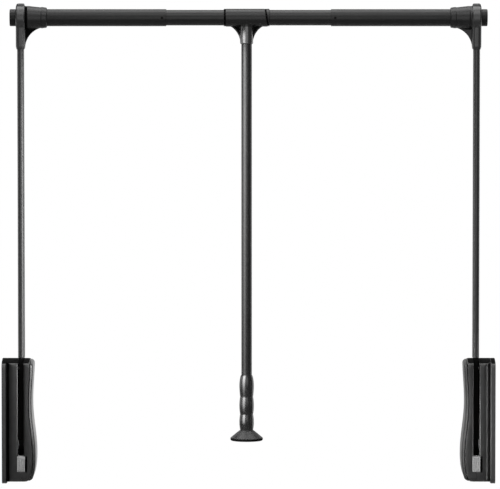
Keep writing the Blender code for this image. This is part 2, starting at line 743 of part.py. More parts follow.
def build_corner():
    """Corner piece: eye and sleeve round the rail, socket for the arm, curved web between."""
    near = ARM_PLANE - CORNER_WIDTH / 2
    far = ARM_PLANE + CORNER_WIDTH / 2
    bore = RAIL_RADIUS + FIT
    axis = (0, 0, ARM_REACH)
    edge_radius = CORNER_RADIUS - CORNER_EDGE
    profile = [(bore, near), (edge_radius, near), (CORNER_RADIUS, near + CORNER_EDGE),
               (CORNER_RADIUS, far - CORNER_EDGE), (edge_radius, far), (SLEEVE_ROOT_RADIUS, far),
               (SLEEVE_END_RADIUS, SLEEVE_END - SLEEVE_EDGE), (SLEEVE_END_RADIUS - SLEEVE_EDGE, SLEEVE_END),
               (bore, SLEEVE_END)]
    body = turned(profile, axis, "X", hollow=True)
    saddle_radius = (bore + SLEEVE_END_RADIUS) / 2
    bottom = ARM_REACH - CORNER_NECK_DROP
    neck = join(build_corner_neck(bottom), build_gusset(far), build_corner_pad(near, far))
    saddle = cylinder(saddle_radius, near - PAST, SLEEVE_END + PAST, axis, "X")
    join(body, cut(neck, saddle))
    socket = oval(ARM_THICK + 2 * FIT, ARM_DEPTH + 2 * FIT)
    socket_loops = [[(x, y, z) for x, y in socket] for z in (bottom - PAST, ARM_END + FIT)]
    screw = cylinder(CORNER_SCREW_OD / 2 + FIT, RAIL_RADIUS - PAST, CORNER_PAD_TOP + PAST,
                     (ARM_PLANE, 0, ARM_REACH), "Z", SMALL_ROUND)
    return cut(body, skin(socket_loops), screw)


def build_corner_neck(bottom):
    """Boxed socket for the arm, deeper towards the rail and drawn in at its end."""
    width = CORNER_WIDTH - 2 * CORNER_RELIEF
    depth = ARM_DEPTH + 2 * (FIT + CORNER_NECK_WALL)
    end_round = CORNER_NECK_ROUND - CORNER_TAPER_IN
    return skin([
        rounded_box(width - 2 * CORNER_TAPER_IN, depth - 2 * CORNER_TAPER_IN, end_round, bottom),
        rounded_box(width, depth, CORNER_NECK_ROUND, bottom + CORNER_TAPER),
        rounded_box(width, depth + CORNER_NECK_FLARE, CORNER_NECK_ROUND, ARM_REACH - CORNER_NECK_TOP),
    ])


def build_gusset(far):
    """Web with a quarter-round lower edge between the neck and the sleeve."""
    root = far - GUSSET_ROOT
    top = ARM_REACH - RAIL_RADIUS - PAST
    end = SLEEVE_END - SLEEVE_EDGE
    low = ARM_REACH - SLEEVE_END_RADIUS + GUSSET_SINK - GUSSET_RADIUS
    outline = [(root, top), (end, top)]
    outline += arc((end, low), GUSSET_RADIUS, 90, 180, 10)
    outline.append((root, low))
    return prism(outline, -GUSSET_THICK / 2, GUSSET_THICK / 2, "Y")


def build_corner_pad(near, far):
    """Flat pad on top of the eye, for the set screw."""
    half = CORNER_PAD_DEPTH / 2
    edge = CORNER_PAD_EDGE
    low = ARM_REACH + RAIL_RADIUS + PAST
    top = ARM_REACH + CORNER_PAD_TOP
    outline = [(-half, low), (half, low), (half, top - edge), (half - edge, top), (edge - half, top),
               (-half, top - edge)]
    return prism(outline, near + CORNER_RELIEF, far - CORNER_RELIEF, "X")


def build_corner_screw():
    """Set screw down through the corner's top pad onto the rail tube."""
    start = RAIL_RADIUS + FIT
    end = CORNER_PAD_TOP - CORNER_SCREW_SINK
    return cylinder(CORNER_SCREW_OD / 2, start, end, (ARM_PLANE, 0, ARM_REACH), "Z", SMALL_ROUND)


def build_rail_tube():
    body = ring(RAIL_RADIUS, RAIL_BORE, RAIL_START, RAIL_MOUTH, (0, 0, ARM_REACH), "X")
    tool = cylinder(LOCK_SCREW_OD / 2 + FIT, -RAIL_RADIUS - PAST, PAST - RAIL_BORE,
                    (RAIL_MOUTH - LOCK_SCREW_BACK, 0, ARM_REACH), "Y", SMALL_ROUND)
    return cut(body, tool)


def build_lock_screw():
    """Small screw through the rail tube that clamps the tube inside it."""
    start = -RAIL_RADIUS - LOCK_SCREW_PROUD
    centre = (RAIL_MOUTH - LOCK_SCREW_BACK, 0, ARM_REACH)
    return cylinder(LOCK_SCREW_OD / 2, start, -INNER_RADIUS - FIT / 2, centre, "Y", SMALL_ROUND)


def build_end_cap():
    start = RAIL_START - FIT - CAP_HEAD
    plug = RAIL_START + CAP_PLUG
    bore = RAIL_BORE - FIT
    profile = [(0, start), (RAIL_RADIUS - CAP_EDGE, start), (RAIL_RADIUS, start + CAP_EDGE),
               (RAIL_RADIUS, RAIL_START - FIT), (bore, RAIL_START - FIT), (bore, plug), (0, plug)]
    return turned(profile, (0, 0, ARM_REACH), "X")


def build_inner_tube():
    inner = INNER_RADIUS - INNER_WALL
    return ring(INNER_RADIUS, inner, INNER_START, WIDTH - INNER_START, (0, 0, ARM_REACH), "X")


def build_tee():
    """Sleeve that turns on the inner rail tube, with a webbed socket for the pull rod."""
    bore = bore_radius(INNER_RADIUS + RUN, ROUND)
    radius = TEE_OD / 2
    half = TEE_LENGTH / 2
    axis = (ROD_X, 0, ARM_REACH)
    edge = TEE_EDGE
    body = turned([(bore, -half), (radius - edge, -half), (radius, edge - half), (radius, half - edge),
                   (radius - edge, half), (bore, half)], axis, "X", hollow=True)
    neck = TEE_NECK_OD / 2
    end = TEE_NECK_END_OD / 2
    drop = -TEE_NECK_DROP
    stem = turned([(0, drop), (end - edge, drop), (end, drop + edge), (neck, drop + TEE_NECK_TAPER),
                   (neck, 0), (0, 0)], axis, "Z")
    saddle = cylinder((bore + radius) / 2, -half, half, axis, "X")
    join(body, cut(join(stem, build_tee_web(bore)), saddle))
    socket = cylinder(ROD_RADIUS + FIT, drop - PAST, rod_top() + FIT, axis, "Z")
    return cut(body, socket, rod_pin_hole())


def build_tee_web(bore):
    """Web on both sides of the tee's neck, with long curved lower edges."""
    neck = TEE_NECK_OD / 2
    sleeve = ARM_REACH - TEE_OD / 2
    curve = bend((TEE_NECK_END_OD / 2 - TEE_WEB_SINK, ARM_REACH - TEE_NECK_DROP + TEE_WEB_RISE),
                 (neck + TEE_WEB_BEND, sleeve - TEE_WEB_BEND_DROP),
                 (neck + TEE_WEB_REACH, sleeve + TEE_WEB_SINK), 6)
    curve.append((neck + TEE_WEB_REACH, ARM_REACH - bore - TEE_WEB_SINK))
    outline = [(ROD_X + x, z) for x, z in curve]
    outline += [(ROD_X - x, z) for x, z in reversed(curve)]
    return prism(outline, -TEE_WEB_THICK / 2, TEE_WEB_THICK / 2, "Y")


def rod_top():
    """Top of the pull rod below the rail axis."""
    return -TEE_OD / 2 - ROD_TOP_GAP


def rod_pin_z():
    return ARM_REACH + rod_top() - ROD_PIN_BACK


def rod_pin_hole():
    half = TEE_NECK_OD / 2 + PAST
    return cylinder(ROD_PIN_OD / 2 + FIT, -half, half, (ROD_X, 0, rod_pin_z()), "Y", SMALL_ROUND)


def build_rod_tube():
    top = ARM_REACH + rod_top()
    body = ring(ROD_RADIUS, ROD_RADIUS - ROD_WALL, GRIP_BOTTOM + BELL_PLUG + FIT, top, (ROD_X, 0, 0), "Z")
    return cut(body, rod_pin_hole())


def build_rod_pin():
    half = TEE_NECK_OD / 2 - ROD_PIN_SINK
    return cylinder(ROD_PIN_OD / 2, -half, half, (ROD_X, 0, rod_pin_z()), "Y", SMALL_ROUND)


def build_grip():
    """Three-bulged grip pushed over the end of the rod."""
    steps = 5
    ends = (GRIP_LIP_RADIUS, GRIP_WAIST_RADIUS, GRIP_WAIST_RADIUS, GRIP_WAIST_RADIUS)
    bore = ROD_RADIUS + FIT
    profile = [(bore, GRIP_TOP)]
    top = GRIP_TOP
    for i, length in enumerate(GRIP_BULGES):
        for k in range(steps):
            t = k / steps
            base = ends[i] + (ends[i + 1] - ends[i]) * t
            radius = base + (GRIP_BULGE_RADIUS - base) * math.sin(math.pi * t) ** GRIP_FULLNESS
            profile.append((radius, top - length * t))
        top -= length
    profile += [(GRIP_WAIST_RADIUS, GRIP_BOTTOM), (bore, GRIP_BOTTOM)]
    return turned(profile, (ROD_X, 0, 0), "Z", hollow=True)


def build_bell():
    """Flared foot under the grip, dished below and plugged into the grip."""
    top = GRIP_BOTTOM - FIT
    rim = BELL_BOTTOM + BELL_RIM
    plug = ROD_RADIUS - FIT
    neck = GRIP_WAIST_RADIUS
    profile = [(0, GRIP_BOTTOM + BELL_PLUG), (plug, GRIP_BOTTOM + BELL_PLUG), (plug, top), (neck, top)]
    steps = 5
    for i in range(1, steps + 1):
        t = i / steps
        profile.append((neck + (BELL_RADIUS - neck) * t ** BELL_FLARE, top + (rim - top) * t))
    dish = BELL_BOTTOM + BELL_DISH
    profile += [(BELL_RADIUS, BELL_BOTTOM + BELL_EDGE), (BELL_RADIUS - BELL_EDGE, BELL_BOTTOM),
                (BELL_RADIUS - BELL_FOOT, BELL_BOTTOM), (BELL_DISH_RADIUS, dish), (0, dish)]
    return turned(profile, (ROD_X, 0, 0), "Z")


def place(name, body, parent, material):
    """Name a working object as a piece and hang it on its empty without moving it."""
    mesh = body.data
    mesh.materials.clear()
    mesh.materials.append(material)
    body.name = name
    mesh.name = name
    mesh.transform(Matrix.Translation(-parent.location))
    body.parent = parent
    return body


def place_pair(name, body, parents, material):
    """Place a piece of the left side and its mirror image on the right side."""
    left = place("left_" + name, body, parents[0], material)
    right = bpy.data.objects.new("right_" + name, left.data)
    right.parent = parents[1]
    bpy.context.collection.objects.link(right)


def main():
    clear_scene()
    black_plastic = make_material("black plastic", 0.03, 0.35, 0.0)
    black_metal = make_material("black painted steel", 0.03, 0.30, 0.3)
    steel = make_material("bare steel", 0.55, 0.35, 1.0)
    nylon = make_material("nylon", 0.70, 0.50, 0.0)
    dark_rubber = make_material("dark rubber", 0.04, 0.80, 0.0)
    grey_rubber = make_material("grey rubber", 0.25, 0.70, 0.0)

    wall = (make_empty("left_housing_frame", (0, 0, 0)),
            make_empty("right_housing_frame", (WIDTH, 0, 0), mirrored=True))
    arm = (make_empty("left_swing_axis", (0, 0, 0)),
           make_empty("right_swing_axis", (WIDTH, 0, 0), mirrored=True))
    strut_point = Vector((ARM_PLANE, STRUT_Y, 0))
    strut = (make_empty("left_strut_axis", strut_point),
             make_empty("right_strut_axis", (WIDTH - ARM_PLANE, STRUT_Y, 0), mirrored=True))
    rail = make_empty("rail_axis", (WIDTH / 2, 0, ARM_REACH))
    swivel = make_empty("rod_swivel_axis", (ROD_X, 0, ARM_REACH))

    place_pair("base", build_base(), wall, black_plastic)
    place_pair("wall_plate", build_wall_plate(), wall, steel)
    place_pair("outer_shell", build_outer_shell(), wall, black_plastic)
    place_pair("inner_shell", build_inner_shell(), wall, black_plastic)
    place_pair("side_cap", build_side_cap(), wall, black_plastic)
    place_pair("pivot_axle", build_axle(), wall, steel)
    place_pair("spacer_wall", build_spacer(PLATE_END + FIT, LEVER_NEAR - FIT), wall, nylon)
    place_pair("spacer_inner", build_spacer(LEVER_FAR + FIT, spacer_end()), wall, nylon)
    place_pair("strut_cylinder", build_strut_cylinder(), wall, black_metal)
    place_pair("strut_anchor_pin", build_anchor_pin(), wall, steel)
    place_pair("stop_buffer", build_buffer(), wall, grey_rubber)
    place_pair("up_stop", build_up_stop(), wall, dark_rubber)

    place_pair("arm_lever", build_lever(), arm, black_metal)
    place_pair("lever_bush", build_bush(), arm, nylon)
    place_pair("lever_pin", build_lever_pin(), arm, steel)
    place_pair("arm_tube", build_arm_tube(), arm, black_metal)
    place_pair("arm_rivet", build_rivet(), arm, black_metal)
    place_pair("corner", build_corner(), arm, black_plastic)
    place_pair("corner_screw", build_corner_screw(), arm, steel)
    place_pair("rail_tube", build_rail_tube(), arm, black_metal)
    place_pair("end_cap", build_end_cap(), arm, black_plastic)
    place_pair("lock_screw", build_lock_screw(), arm, black_metal)

    place_pair("strut_rod", build_strut_rod(), strut, steel)
    place_pair("strut_yoke", build_yoke(), strut, steel)

    place("rail_inner_tube", build_inner_tube(), rail, black_metal)
    place("tee", build_tee(), swivel, black_plastic)
    place("pull_rod_tube", build_rod_tube(), swivel, black_metal)
    place("pull_rod_pin", build_rod_pin(), swivel, black_metal)
    place("pull_grip", build_grip(), swivel, black_plastic)
    place("pull_bell", build_bell(), swivel, black_plastic)


main()
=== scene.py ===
"""Looks of the fold-down clothes rail: finer mouldings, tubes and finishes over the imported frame.

Metres, +Z up. The left wall face is x = 0, the arms swing about y = z = 0, and -Y is the room side.
"""

import json
import math

import bmesh
import bpy
from mathutils import Matrix, Vector

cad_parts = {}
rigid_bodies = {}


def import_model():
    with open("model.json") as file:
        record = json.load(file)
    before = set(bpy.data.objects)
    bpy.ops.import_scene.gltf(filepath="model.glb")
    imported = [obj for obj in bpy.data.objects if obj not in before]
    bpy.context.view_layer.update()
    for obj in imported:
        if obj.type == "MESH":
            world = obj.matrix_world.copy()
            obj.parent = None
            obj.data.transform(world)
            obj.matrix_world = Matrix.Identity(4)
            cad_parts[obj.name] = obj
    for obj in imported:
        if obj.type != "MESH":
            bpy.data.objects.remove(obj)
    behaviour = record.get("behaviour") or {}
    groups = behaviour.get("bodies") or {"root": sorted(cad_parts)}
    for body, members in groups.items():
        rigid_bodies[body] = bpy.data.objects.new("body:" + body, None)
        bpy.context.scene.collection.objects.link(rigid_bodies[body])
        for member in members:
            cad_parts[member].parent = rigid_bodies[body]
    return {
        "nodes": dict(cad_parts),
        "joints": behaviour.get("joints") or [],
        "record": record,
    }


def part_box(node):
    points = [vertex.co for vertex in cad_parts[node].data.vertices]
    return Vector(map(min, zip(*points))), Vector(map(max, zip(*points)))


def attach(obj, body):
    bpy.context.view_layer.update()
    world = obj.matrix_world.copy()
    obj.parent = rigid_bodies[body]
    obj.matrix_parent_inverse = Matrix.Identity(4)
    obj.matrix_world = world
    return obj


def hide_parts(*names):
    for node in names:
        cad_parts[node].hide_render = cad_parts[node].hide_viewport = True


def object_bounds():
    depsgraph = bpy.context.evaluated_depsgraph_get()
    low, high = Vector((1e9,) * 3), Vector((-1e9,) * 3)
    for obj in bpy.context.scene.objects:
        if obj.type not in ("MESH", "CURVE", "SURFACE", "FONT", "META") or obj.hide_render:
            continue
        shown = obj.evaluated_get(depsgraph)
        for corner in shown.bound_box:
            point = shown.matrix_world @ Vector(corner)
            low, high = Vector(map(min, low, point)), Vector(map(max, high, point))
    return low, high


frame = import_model()
cad_low, cad_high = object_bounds()
nodes = frame["nodes"]

# Places that the frame gives
WIDTH = cad_high.x - cad_low.x
CENTRE = (cad_low + cad_high) / 2
SWIVEL = next(joint for joint in frame["joints"] if joint["name"] == "rod_swivel")["pos_m"]
ROD_X = SWIVEL[0]
RAIL_Z = SWIVEL[2]
BODIES = frame["record"]["behaviour"]["bodies"]
BODY_OF = {node: body for body, names in BODIES.items() for node in names}
BELL_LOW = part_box("pull_bell")[0].z
SIDES = ("left", "right")
MIRROR = Matrix.Translation((WIDTH, 0, 0)) @ Matrix.Scale(-1, 4, (1, 0, 0))

# Mesh fineness
FINE = 96
ARC_STEPS = 12
TUBE_STEPS = 4
ROLL_STEPS = 5
TURN_STEPS = 6
SHOULDER_STEPS = 10
SHOULDER_SKIP = 3
WELD = 1e-6
SHARP = math.radians(35)

# Gap between fitted pieces, and how far cutting tools and small edges run past a face
FIT = 0.0003
PAST = 0.001

# Edges and mouldings of the finer pieces
TUBE_EDGE = 0.0005
SMALL_EDGE = 0.0004
PIECE_SEGMENTS = 3
NODE_SEGMENTS = 2
MOULD_VOXEL = 0.0008
MOULD_SMOOTH = 0.5
MOULD_PASSES = 6

# Housing
BASE_THICK = 0.009
BASE_FLOOR = 0.003
BASE_RIM = 0.0025
BASE_EDGE = 0.0022
BASE_OVERHANG = 0.002
BASE_BOTTOM_OVERHANG = 0.003
WALL_HOLE_RADIUS = 0.0026
WALL_HOLE_INSET = 0.014
WALL_HOLE_BACK_INSET = 0.007
WALL_HOLE_RISE = 0.0175
WALL_HOLE_SINK = 0.0375
CASE_HALF = 0.043
CASE_DROP = 0.0625
CASE_TOP_RADIUS = 0.153
CASE_TOP_CORNER = 0.006
CASE_CORNER = 0.008
CASE_CORNER_LEAST = 0.004
CASE_TURN = 0.93
CASE_WALL = 0.0024
CASE_SHOULDER_X = 0.012
CASE_SHOULDER_Y = 0.009
CASE_SPLIT = FIT / 2
CASE_SINK = 0.001
SEAM_CHAMFER = 0.0008
SLOT_WIDTH = 0.0094
SLOT_BACK = 0.0105
SLOT_ROLL = 0.0032
BUFFER_WIDTH = 0.0138
BUFFER_EDGE = 0.0015
BUFFER_SOFT = 0.0002
BUFFER_SLOPE = math.tan(math.radians(10))
BUFFER_GROOVES = (-0.0035, 0.0, 0.0035)
BUFFER_GROOVE_WIDTH = 0.0012
BUFFER_GROOVE_DEPTH = 0.0007
WINDOW_SHADOW = 0.0042
CAP_GAP = 0.0005
CAP_THICK = 0.0054
EDGE_START = 0.006
EDGE_ROUND = 0.006
FACE_TOP_X = 0.0497
FACE_WAIST_X = 0.0465
FACE_WAIST_Z = 0.075
FACE_BELLY_X = 0.0537
FACE_BELLY_Z = -0.018
FACE_FOOT_X = 0.0427
FACE_STATIONS = 44
SHELL_STEPS = (-0.006, -0.0045, -0.003, -0.0018)
CAP_STEPS = (0.3, 0.45, 0.6, 0.72, 0.82, 0.9, 0.95, 0.98, 1.0)

# Arm, corner and rail
ARM_PLANE = 0.0335
ARM_WALL = 0.0012
RAIL_WALL = 0.001
INNER_WALL = 0.0012
CORNER_WIDTH = 0.0162
CORNER_RADIUS = 0.0225
CORNER_EDGE = 0.002
CORNER_PAD_DEPTH = 0.022
CORNER_PAD_EDGE = 0.002
CORNER_PAD_TAPER = 0.0014
CORNER_PAD_ROUND = 0.003
CORNER_NECK_DEPTH = 0.029
CORNER_NECK_TOP = 0.009
CORNER_NECK_FLARE = 0.004
CORNER_NECK_ROUND = 0.006
CORNER_TAPER = 0.0055
CORNER_TAPER_IN = 0.0015
CORNER_SCREW_RADIUS = 0.0028
SLEEVE_ROOT_RADIUS = 0.0208
SLEEVE_END_RADIUS = 0.0178
SLEEVE_GROOVE = 0.0034
SLEEVE_GROOVE_WALL = 0.0016
SLEEVE_RIB_WIDTH = 0.012
SLEEVE_RIB_SINK = 0.0003
SLEEVE_LIP = 0.010
SLEEVE_LIP_PROUD = 0.0004
GUSSET_RADIUS = 0.0375
GUSSET_THICK = 0.009
GUSSET_SINK = 0.0012
GUSSET_ROOT = 0.004
END_CAP_RIM = 0.0016
END_CAP_DISH = 0.0006
END_CAP_DISH_EDGE = 2.6 * END_CAP_RIM

# Tee, pull rod, grip and foot
TEE_RADIUS = 0.01575
TEE_NECK_RADIUS = 0.0117
TEE_NECK_END_RADIUS = 0.0114
TEE_NECK_TAPER = 0.010
TEE_WEB_REACH = 0.0168
TEE_WEB_BEND = 0.0011
TEE_WEB_BEND_DROP = 0.0088
TEE_WEB_RISE = 0.002
TEE_WEB_THICK = 0.007
TEE_WEB_SINK = 0.0006
TEE_EDGE = 0.0009
TEE_GROOVE_BACK = 0.0008
TEE_GROOVE_WIDTH = 0.0030
TEE_GROOVE_DEPTH = 0.0009
TEE_GROOVE_SLANT = 0.0052
TEE_PLAY = 0.00056
ROD_WALL = 0.0012
GRIP_BULGES = (0.0385, 0.0310, 0.0275)
GRIP_BULGE_RADIUS = 0.0129
GRIP_WAIST_RADIUS = 0.0115
GRIP_LIP_RADIUS = 0.0102
GRIP_FULLNESS = 0.8
GRIP_STEPS = 18
BELL_FLARE = 0.95
BELL_RIM = 0.0046
BELL_EDGE = 0.0015
BELL_FOOT = 0.004
BELL_DISH = 0.004
BELL_DISH_RADIUS = 0.0172
BELL_STEPS = 16

# Faces that get a finish of their own: most get painted shade, the corner blocks are painted lighter,
# and the tee's stem is glossier
TOP_LEVEL = 0.955
GROOVE_START = 0.0060
GROOVE_END = 0.0125
BLOCK_END = ARM_PLANE + CORNER_WIDTH / 2
WEB_FACING = 0.8
TEE_WEB_RIM = 0.0022
TEE_WEB_START = 0.8 * TEE_NECK_END_RADIUS

# Paints: name, grey, roughness and gloss
PAINTS = {
    "tube": ("satin black tube paint", 0.004, 0.40, 0.28),
    "arm": ("satin black arm paint", 0.018, 0.36, 0.42),
    "rod": ("black rod paint", 0.004, 0.36, 0.30),
    "black_steel": ("matt black steel", 0.003, 0.6, 0.08),
}

# Plastics: name, grey, roughness, gloss and depth of the grain
PLASTICS = {
    "case": ("black case plastic", 0.008, 0.34, 0.50, 0.00003),
    # also laid on the corner blocks as painted light, to make them read lighter than the sleeve
    "base": ("satin base plastic", 0.012, 0.38, 0.60, 0.00003),
    "fitting": ("black fitting plastic", 0.004, 0.38, 0.32, 0.00003),
    "plug": ("dark plug plastic", 0.003, 0.40, 0.20, 0.00003),
    "gloss": ("glossy grip plastic", 0.004, 0.24, 0.44, 0.00001),
    "bright": ("bright stem plastic", 0.004, 0.22, 0.90, 0.00001),
    "foot": ("satin foot plastic", 0.005, 0.42, 0.36, 0.00002),
    "cap": ("satin cap plastic", 0.006, 0.30, 0.42, 0.00002),
    # Painted shade: a duller, rougher copy of the cap plastic for the right side cap only, so that its
    # rounded edge reads darker
    "shaded_dull_cap": ("shaded dull cap plastic", 0.010, 0.46, 0.30, 0.00002),
    # Painted shade: near-black, nearly glossless plastic laid on faces where shade falls (grooves,
    # webs, housing tops, the foot's rim)
    "painted_shade": ("matt painted shade plastic", 0.002, 0.75, 0.02, 0.00004),
}

# Rubbers: name, darkest and lightest grey
RUBBERS = {
    "grey_rubber": ("grey buffer rubber", 0.17, 0.23),
    "dark_rubber": ("dark stop rubber", 0.02, 0.03),
}

# Finishes of the CAD nodes that still show, by kind
NODE_LOOKS = {
    "zinc": ("wall_plate", "pivot_axle", "strut_anchor_pin", "lever_pin", "strut_rod"),
    "nylon": ("spacer_wall", "spacer_inner", "lever_bush"),
    "black_steel": ("strut_cylinder", "arm_lever", "corner_screw", "lock_screw", "strut_yoke"),
    "dark_rubber": ("up_stop",),
    "arm": ("arm_rivet",),
    "tube": ("pull_rod_pin",),
}

# Textures: noise is (features per metre, detail, stretch), relief is (noise, depth, strength)
NOISE_LOW = 0.3
NOISE_HIGH = 0.7
PAINT_GREY_SHARES = (0.85, 1.2)
PAINT_ROUGH_STEPS = (-0.035, 0.045)
PAINT_MOTTLE = (160, 4)
PAINT_MARKS = (28, 5)
PAINT_PEEL = ((650, 2), 0.00005, 0.35)
PAINT_GRAIN = ((2600, 3), 0.00002, 0.3)
PLASTIC_GREY_SHARES = (0.8, 1.25)
PLASTIC_ROUGH_STEPS = (-0.05, 0.05)
PLASTIC_MOTTLE = (90, 5)
PLASTIC_SHEEN = (45, 6)
PLASTIC_CELLS = 2200.0
PLASTIC_GRAIN_STRENGTH = 0.4
PLASTIC_WAVES = ((60, 2), 0.0002, 0.12)
ZINC_GREYS = (0.42, 0.58)
ZINC_ROUGHS = (0.26, 0.42)
ZINC_MOTTLE = (140, 5)
ZINC_LINES = (900, 3, (0.06, 1, 1))
ZINC_DRAWN = (ZINC_LINES, 0.00002, 0.4)
NYLON_GREYS = (0.58, 0.70)
NYLON_ROUGHS = (0.42, 0.56)
NYLON_GLOSS = 0.4
NYLON_MOTTLE = (220, 4)
NYLON_SHEEN = (60, 4)
NYLON_SKIN = ((1500, 3), 0.00003, 0.3)
RUBBER_ROUGHS = (0.62, 0.78)
RUBBER_GLOSS = 0.3
RUBBER_MOTTLE = (380, 5)
RUBBER_BLOOM = (90, 4)
RUBBER_SKIN = ((1800, 3), 0.00004, 0.35)

# Camera, in pixels of the photograph and metres, with the sensor in millimetres
IMAGE_WIDTH = 500
IMAGE_HEIGHT = 489
SENSOR = 36.0
FOCAL_PIXELS = 5096.0
VIEW_DISTANCE = 9.0
VIEW_FAR = 100
VIEW_PITCH = math.radians(4.1)
RAIL_PIXEL_Y = 17.95
SWING_PIXEL_Y = 445.25
MIDDLE_PIXEL_X = 248.6

# Studio
FLOOR_DROP = 0.50
FLOOR_FADE = 1.1
FLOOR_END = 2.4
FLOOR_GREY = 0.45
BACKDROP_BEHIND = 1.6
BACKDROP_FADE = 0.85
BACKDROP_END = 1.7
BACKDROP_DROP = 0.12
BACKDROP_GREY = 0.8
SHEET_ROUGH = 0.9
SHEET_GLOSS = 0.2
SHEET_MOTTLE = (3, 3)
SHEET_UNEVEN = 0.01
AMBIENT = 0.25

# Lamps: name, place, size and radiance, and for the gridded ones target and beam in degrees
LAMPS = (
    ("gridded rod light", (0.245, -0.155, 0.355), (0.30, 0.81), 4.8, (0.405, 0, 0.26), 80),
    ("gridded arm light", (0.36, -0.22, 0.36), (0.24, 0.64), 2.9, (0.03, 0, 0.28), 70),
    ("gridded shoulder light", (1.177, -0.18, 0.02), (0.12, 0.24), 0.75, (0.891, -0.015, 0.02), 34),
    ("gridded edge light", (0.574, -0.315, 0.02), (0.12, 0.20), 1.2, (0.825, -0.03, 0.02), 34),
    ("front softbox", (0.435, -2.2, 0.75), (1.8, 1.4), 1.7),
    ("overhead softbox", (0.435, -1.16, 2.13), (2.4, 1.0), 3.0),
    ("top softbox", (0.435, 0.25, 1.9), (2.4, 1.0), 4.0),
    ("left rim light", (-1.3, 0.35, 0.30), (1.3, 0.8), 2.0),
    ("right rim light", (2.0, 0.9, 0.3), (1.0, 1.4), 2.0),
)


def link_object(name, data):
    piece = bpy.data.objects.new(name, data)
    bpy.context.scene.collection.objects.link(piece)
    return piece


def solid(bm, name="part"):
    """Weld a bmesh, point its faces outward and make it an object."""
    bmesh.ops.remove_doubles(bm, verts=bm.verts, dist=WELD)
    bmesh.ops.recalc_face_normals(bm, faces=bm.faces)
    mesh = bpy.data.meshes.new(name)
    bm.to_mesh(mesh)
    bm.free()
    return link_object(name, mesh)


def turned(profile, centre, axis, hollow=False):
    """Spin (radius, along) points about an axis through centre, along X or Z."""
    bm = bmesh.new()
    verts = [bm.verts.new((radius, 0, along)) for radius, along in profile]
    edges = [bm.edges.new(pair) for pair in zip(verts, verts[1:])]
    if hollow:
        edges.append(bm.edges.new((verts[-1], verts[0])))
    bmesh.ops.spin(bm, geom=verts + edges, cent=(0, 0, 0), axis=(0, 0, 1), angle=2 * math.pi,
                   steps=FINE, use_merge=True)
    turn = {"X": Matrix.Rotation(math.pi / 2, 4, "Y"), "Z": Matrix.Identity(4)}[axis]
    bm.transform(Matrix.Translation(centre) @ turn)
    return solid(bm)


def cylinder(radius, start, end, centre, axis):
    return turned([(0, start), (radius, start), (radius, end), (0, end)], centre, axis)


def tube(outer, inner, start, end, centre, axis):
    """Tube with rolled outer edges at both ends."""
    edge = TUBE_EDGE
    rim = outer - edge
    turns = quarter(TUBE_STEPS)
    profile = [(inner, start)]
    profile += [(rim + edge * sine, start + edge - edge * cosine) for sine, cosine in turns]
    profile += [(rim + edge * cosine, end - edge + edge * sine) for sine, cosine in turns]
    profile.append((inner, end))
    return turned(profile, centre, axis, hollow=True)


def skin(loops, wrap=False):
    """Join equal loops of points, with flat ends unless the loops wrap round."""
    bm = bmesh.new()
    rows = [[bm.verts.new(point) for point in loop] for loop in loops]
    pairs = list(zip(rows, rows[1:]))
    if wrap:
        pairs.append((rows[-1], rows[0]))
    for near, far in pairs:
        bridge(bm, near, far)
    if not wrap:
        bm.faces.new(rows[0])
        bm.faces.new(rows[-1])
    return solid(bm)


def stack(loops):
    """Join loops that are mirrored front to back, closing both ends with level strips."""
    bm = bmesh.new()
    rows = [[bm.verts.new(point) for point in loop] for loop in loops]
    for near, far in zip(rows, rows[1:]):
        bridge(bm, near, far)
    for row in (rows[0], rows[-1]):
        for i in range(len(row) // 2 - 1):
            bm.faces.new((row[i], row[i + 1], row[-2 - i], row[-1 - i]))
    return solid(bm)


def bridge(bm, near, far):
    for i in range(len(near)):
        j = (i + 1) % len(near)
        bm.faces.new((near[i], near[j], far[j], far[i]))


def prism(outline, start, end, axis):
    """Extrude a flat outline of (y, z), (x, z) or (x, y) points along X, Y or Z."""
    place = "XYZ".index(axis)
    loops = []
    for level in (start, end):
        loops.append([(*point[:place], level, *point[place:]) for point in outline])
    return skin(loops)


def block(low, high):
    outline = [(low[1], low[2]), (high[1], low[2]), (high[1], high[2]), (low[1], high[2])]
    return prism(outline, low[0], high[0], "X")


def combine(piece, tool, operation):
    """Apply one Boolean to a piece and drop the tool."""
    modifier = piece.modifiers.new("combine", "BOOLEAN")
    modifier.operation = operation
    modifier.solver = "EXACT"
    modifier.object = tool
    apply_modifiers(piece)
    bpy.data.objects.remove(tool, do_unlink=True)


def apply_modifiers(piece):
    bpy.context.view_layer.update()
    graph = bpy.context.evaluated_depsgraph_get()
    mesh = bpy.data.meshes.new_from_object(piece.evaluated_get(graph))
    piece.modifiers.clear()
    piece.data = mesh


def cut(piece, *tools):
    for tool in tools:
        combine(piece, tool, "DIFFERENCE")
    return piece


def join(piece, *tools):
    for tool in tools:
        combine(piece, tool, "UNION")
    return piece


def arc(centre, radius, start, end, steps=ARC_STEPS):
    """Points on an arc between two angles in degrees, both ends included."""
    angles = [math.radians(start + (end - start) * i / steps) for i in range(steps + 1)]
    return [(centre[0] + radius * math.cos(a), centre[1] + radius * math.sin(a)) for a in angles]


def bend(start, control, end, steps=ARC_STEPS):
    """Points on a curve that leaves start and reaches end in line with the control point."""
    points = []
    for i in range(steps + 1):
        t = i / steps
        weights = ((1 - t) ** 2, 2 * t * (1 - t), t * t)
        pulls = list(zip(weights, (start, control, end)))
        points.append(tuple(sum(w * p[k] for w, p in pulls) for k in (0, 1)))
    return points


def quarter(steps):
    """Sines and cosines of even steps over a quarter turn."""
    angles = [math.pi / 2 * i / steps for i in range(steps + 1)]
    return [(math.sin(a), math.cos(a)) for a in angles]


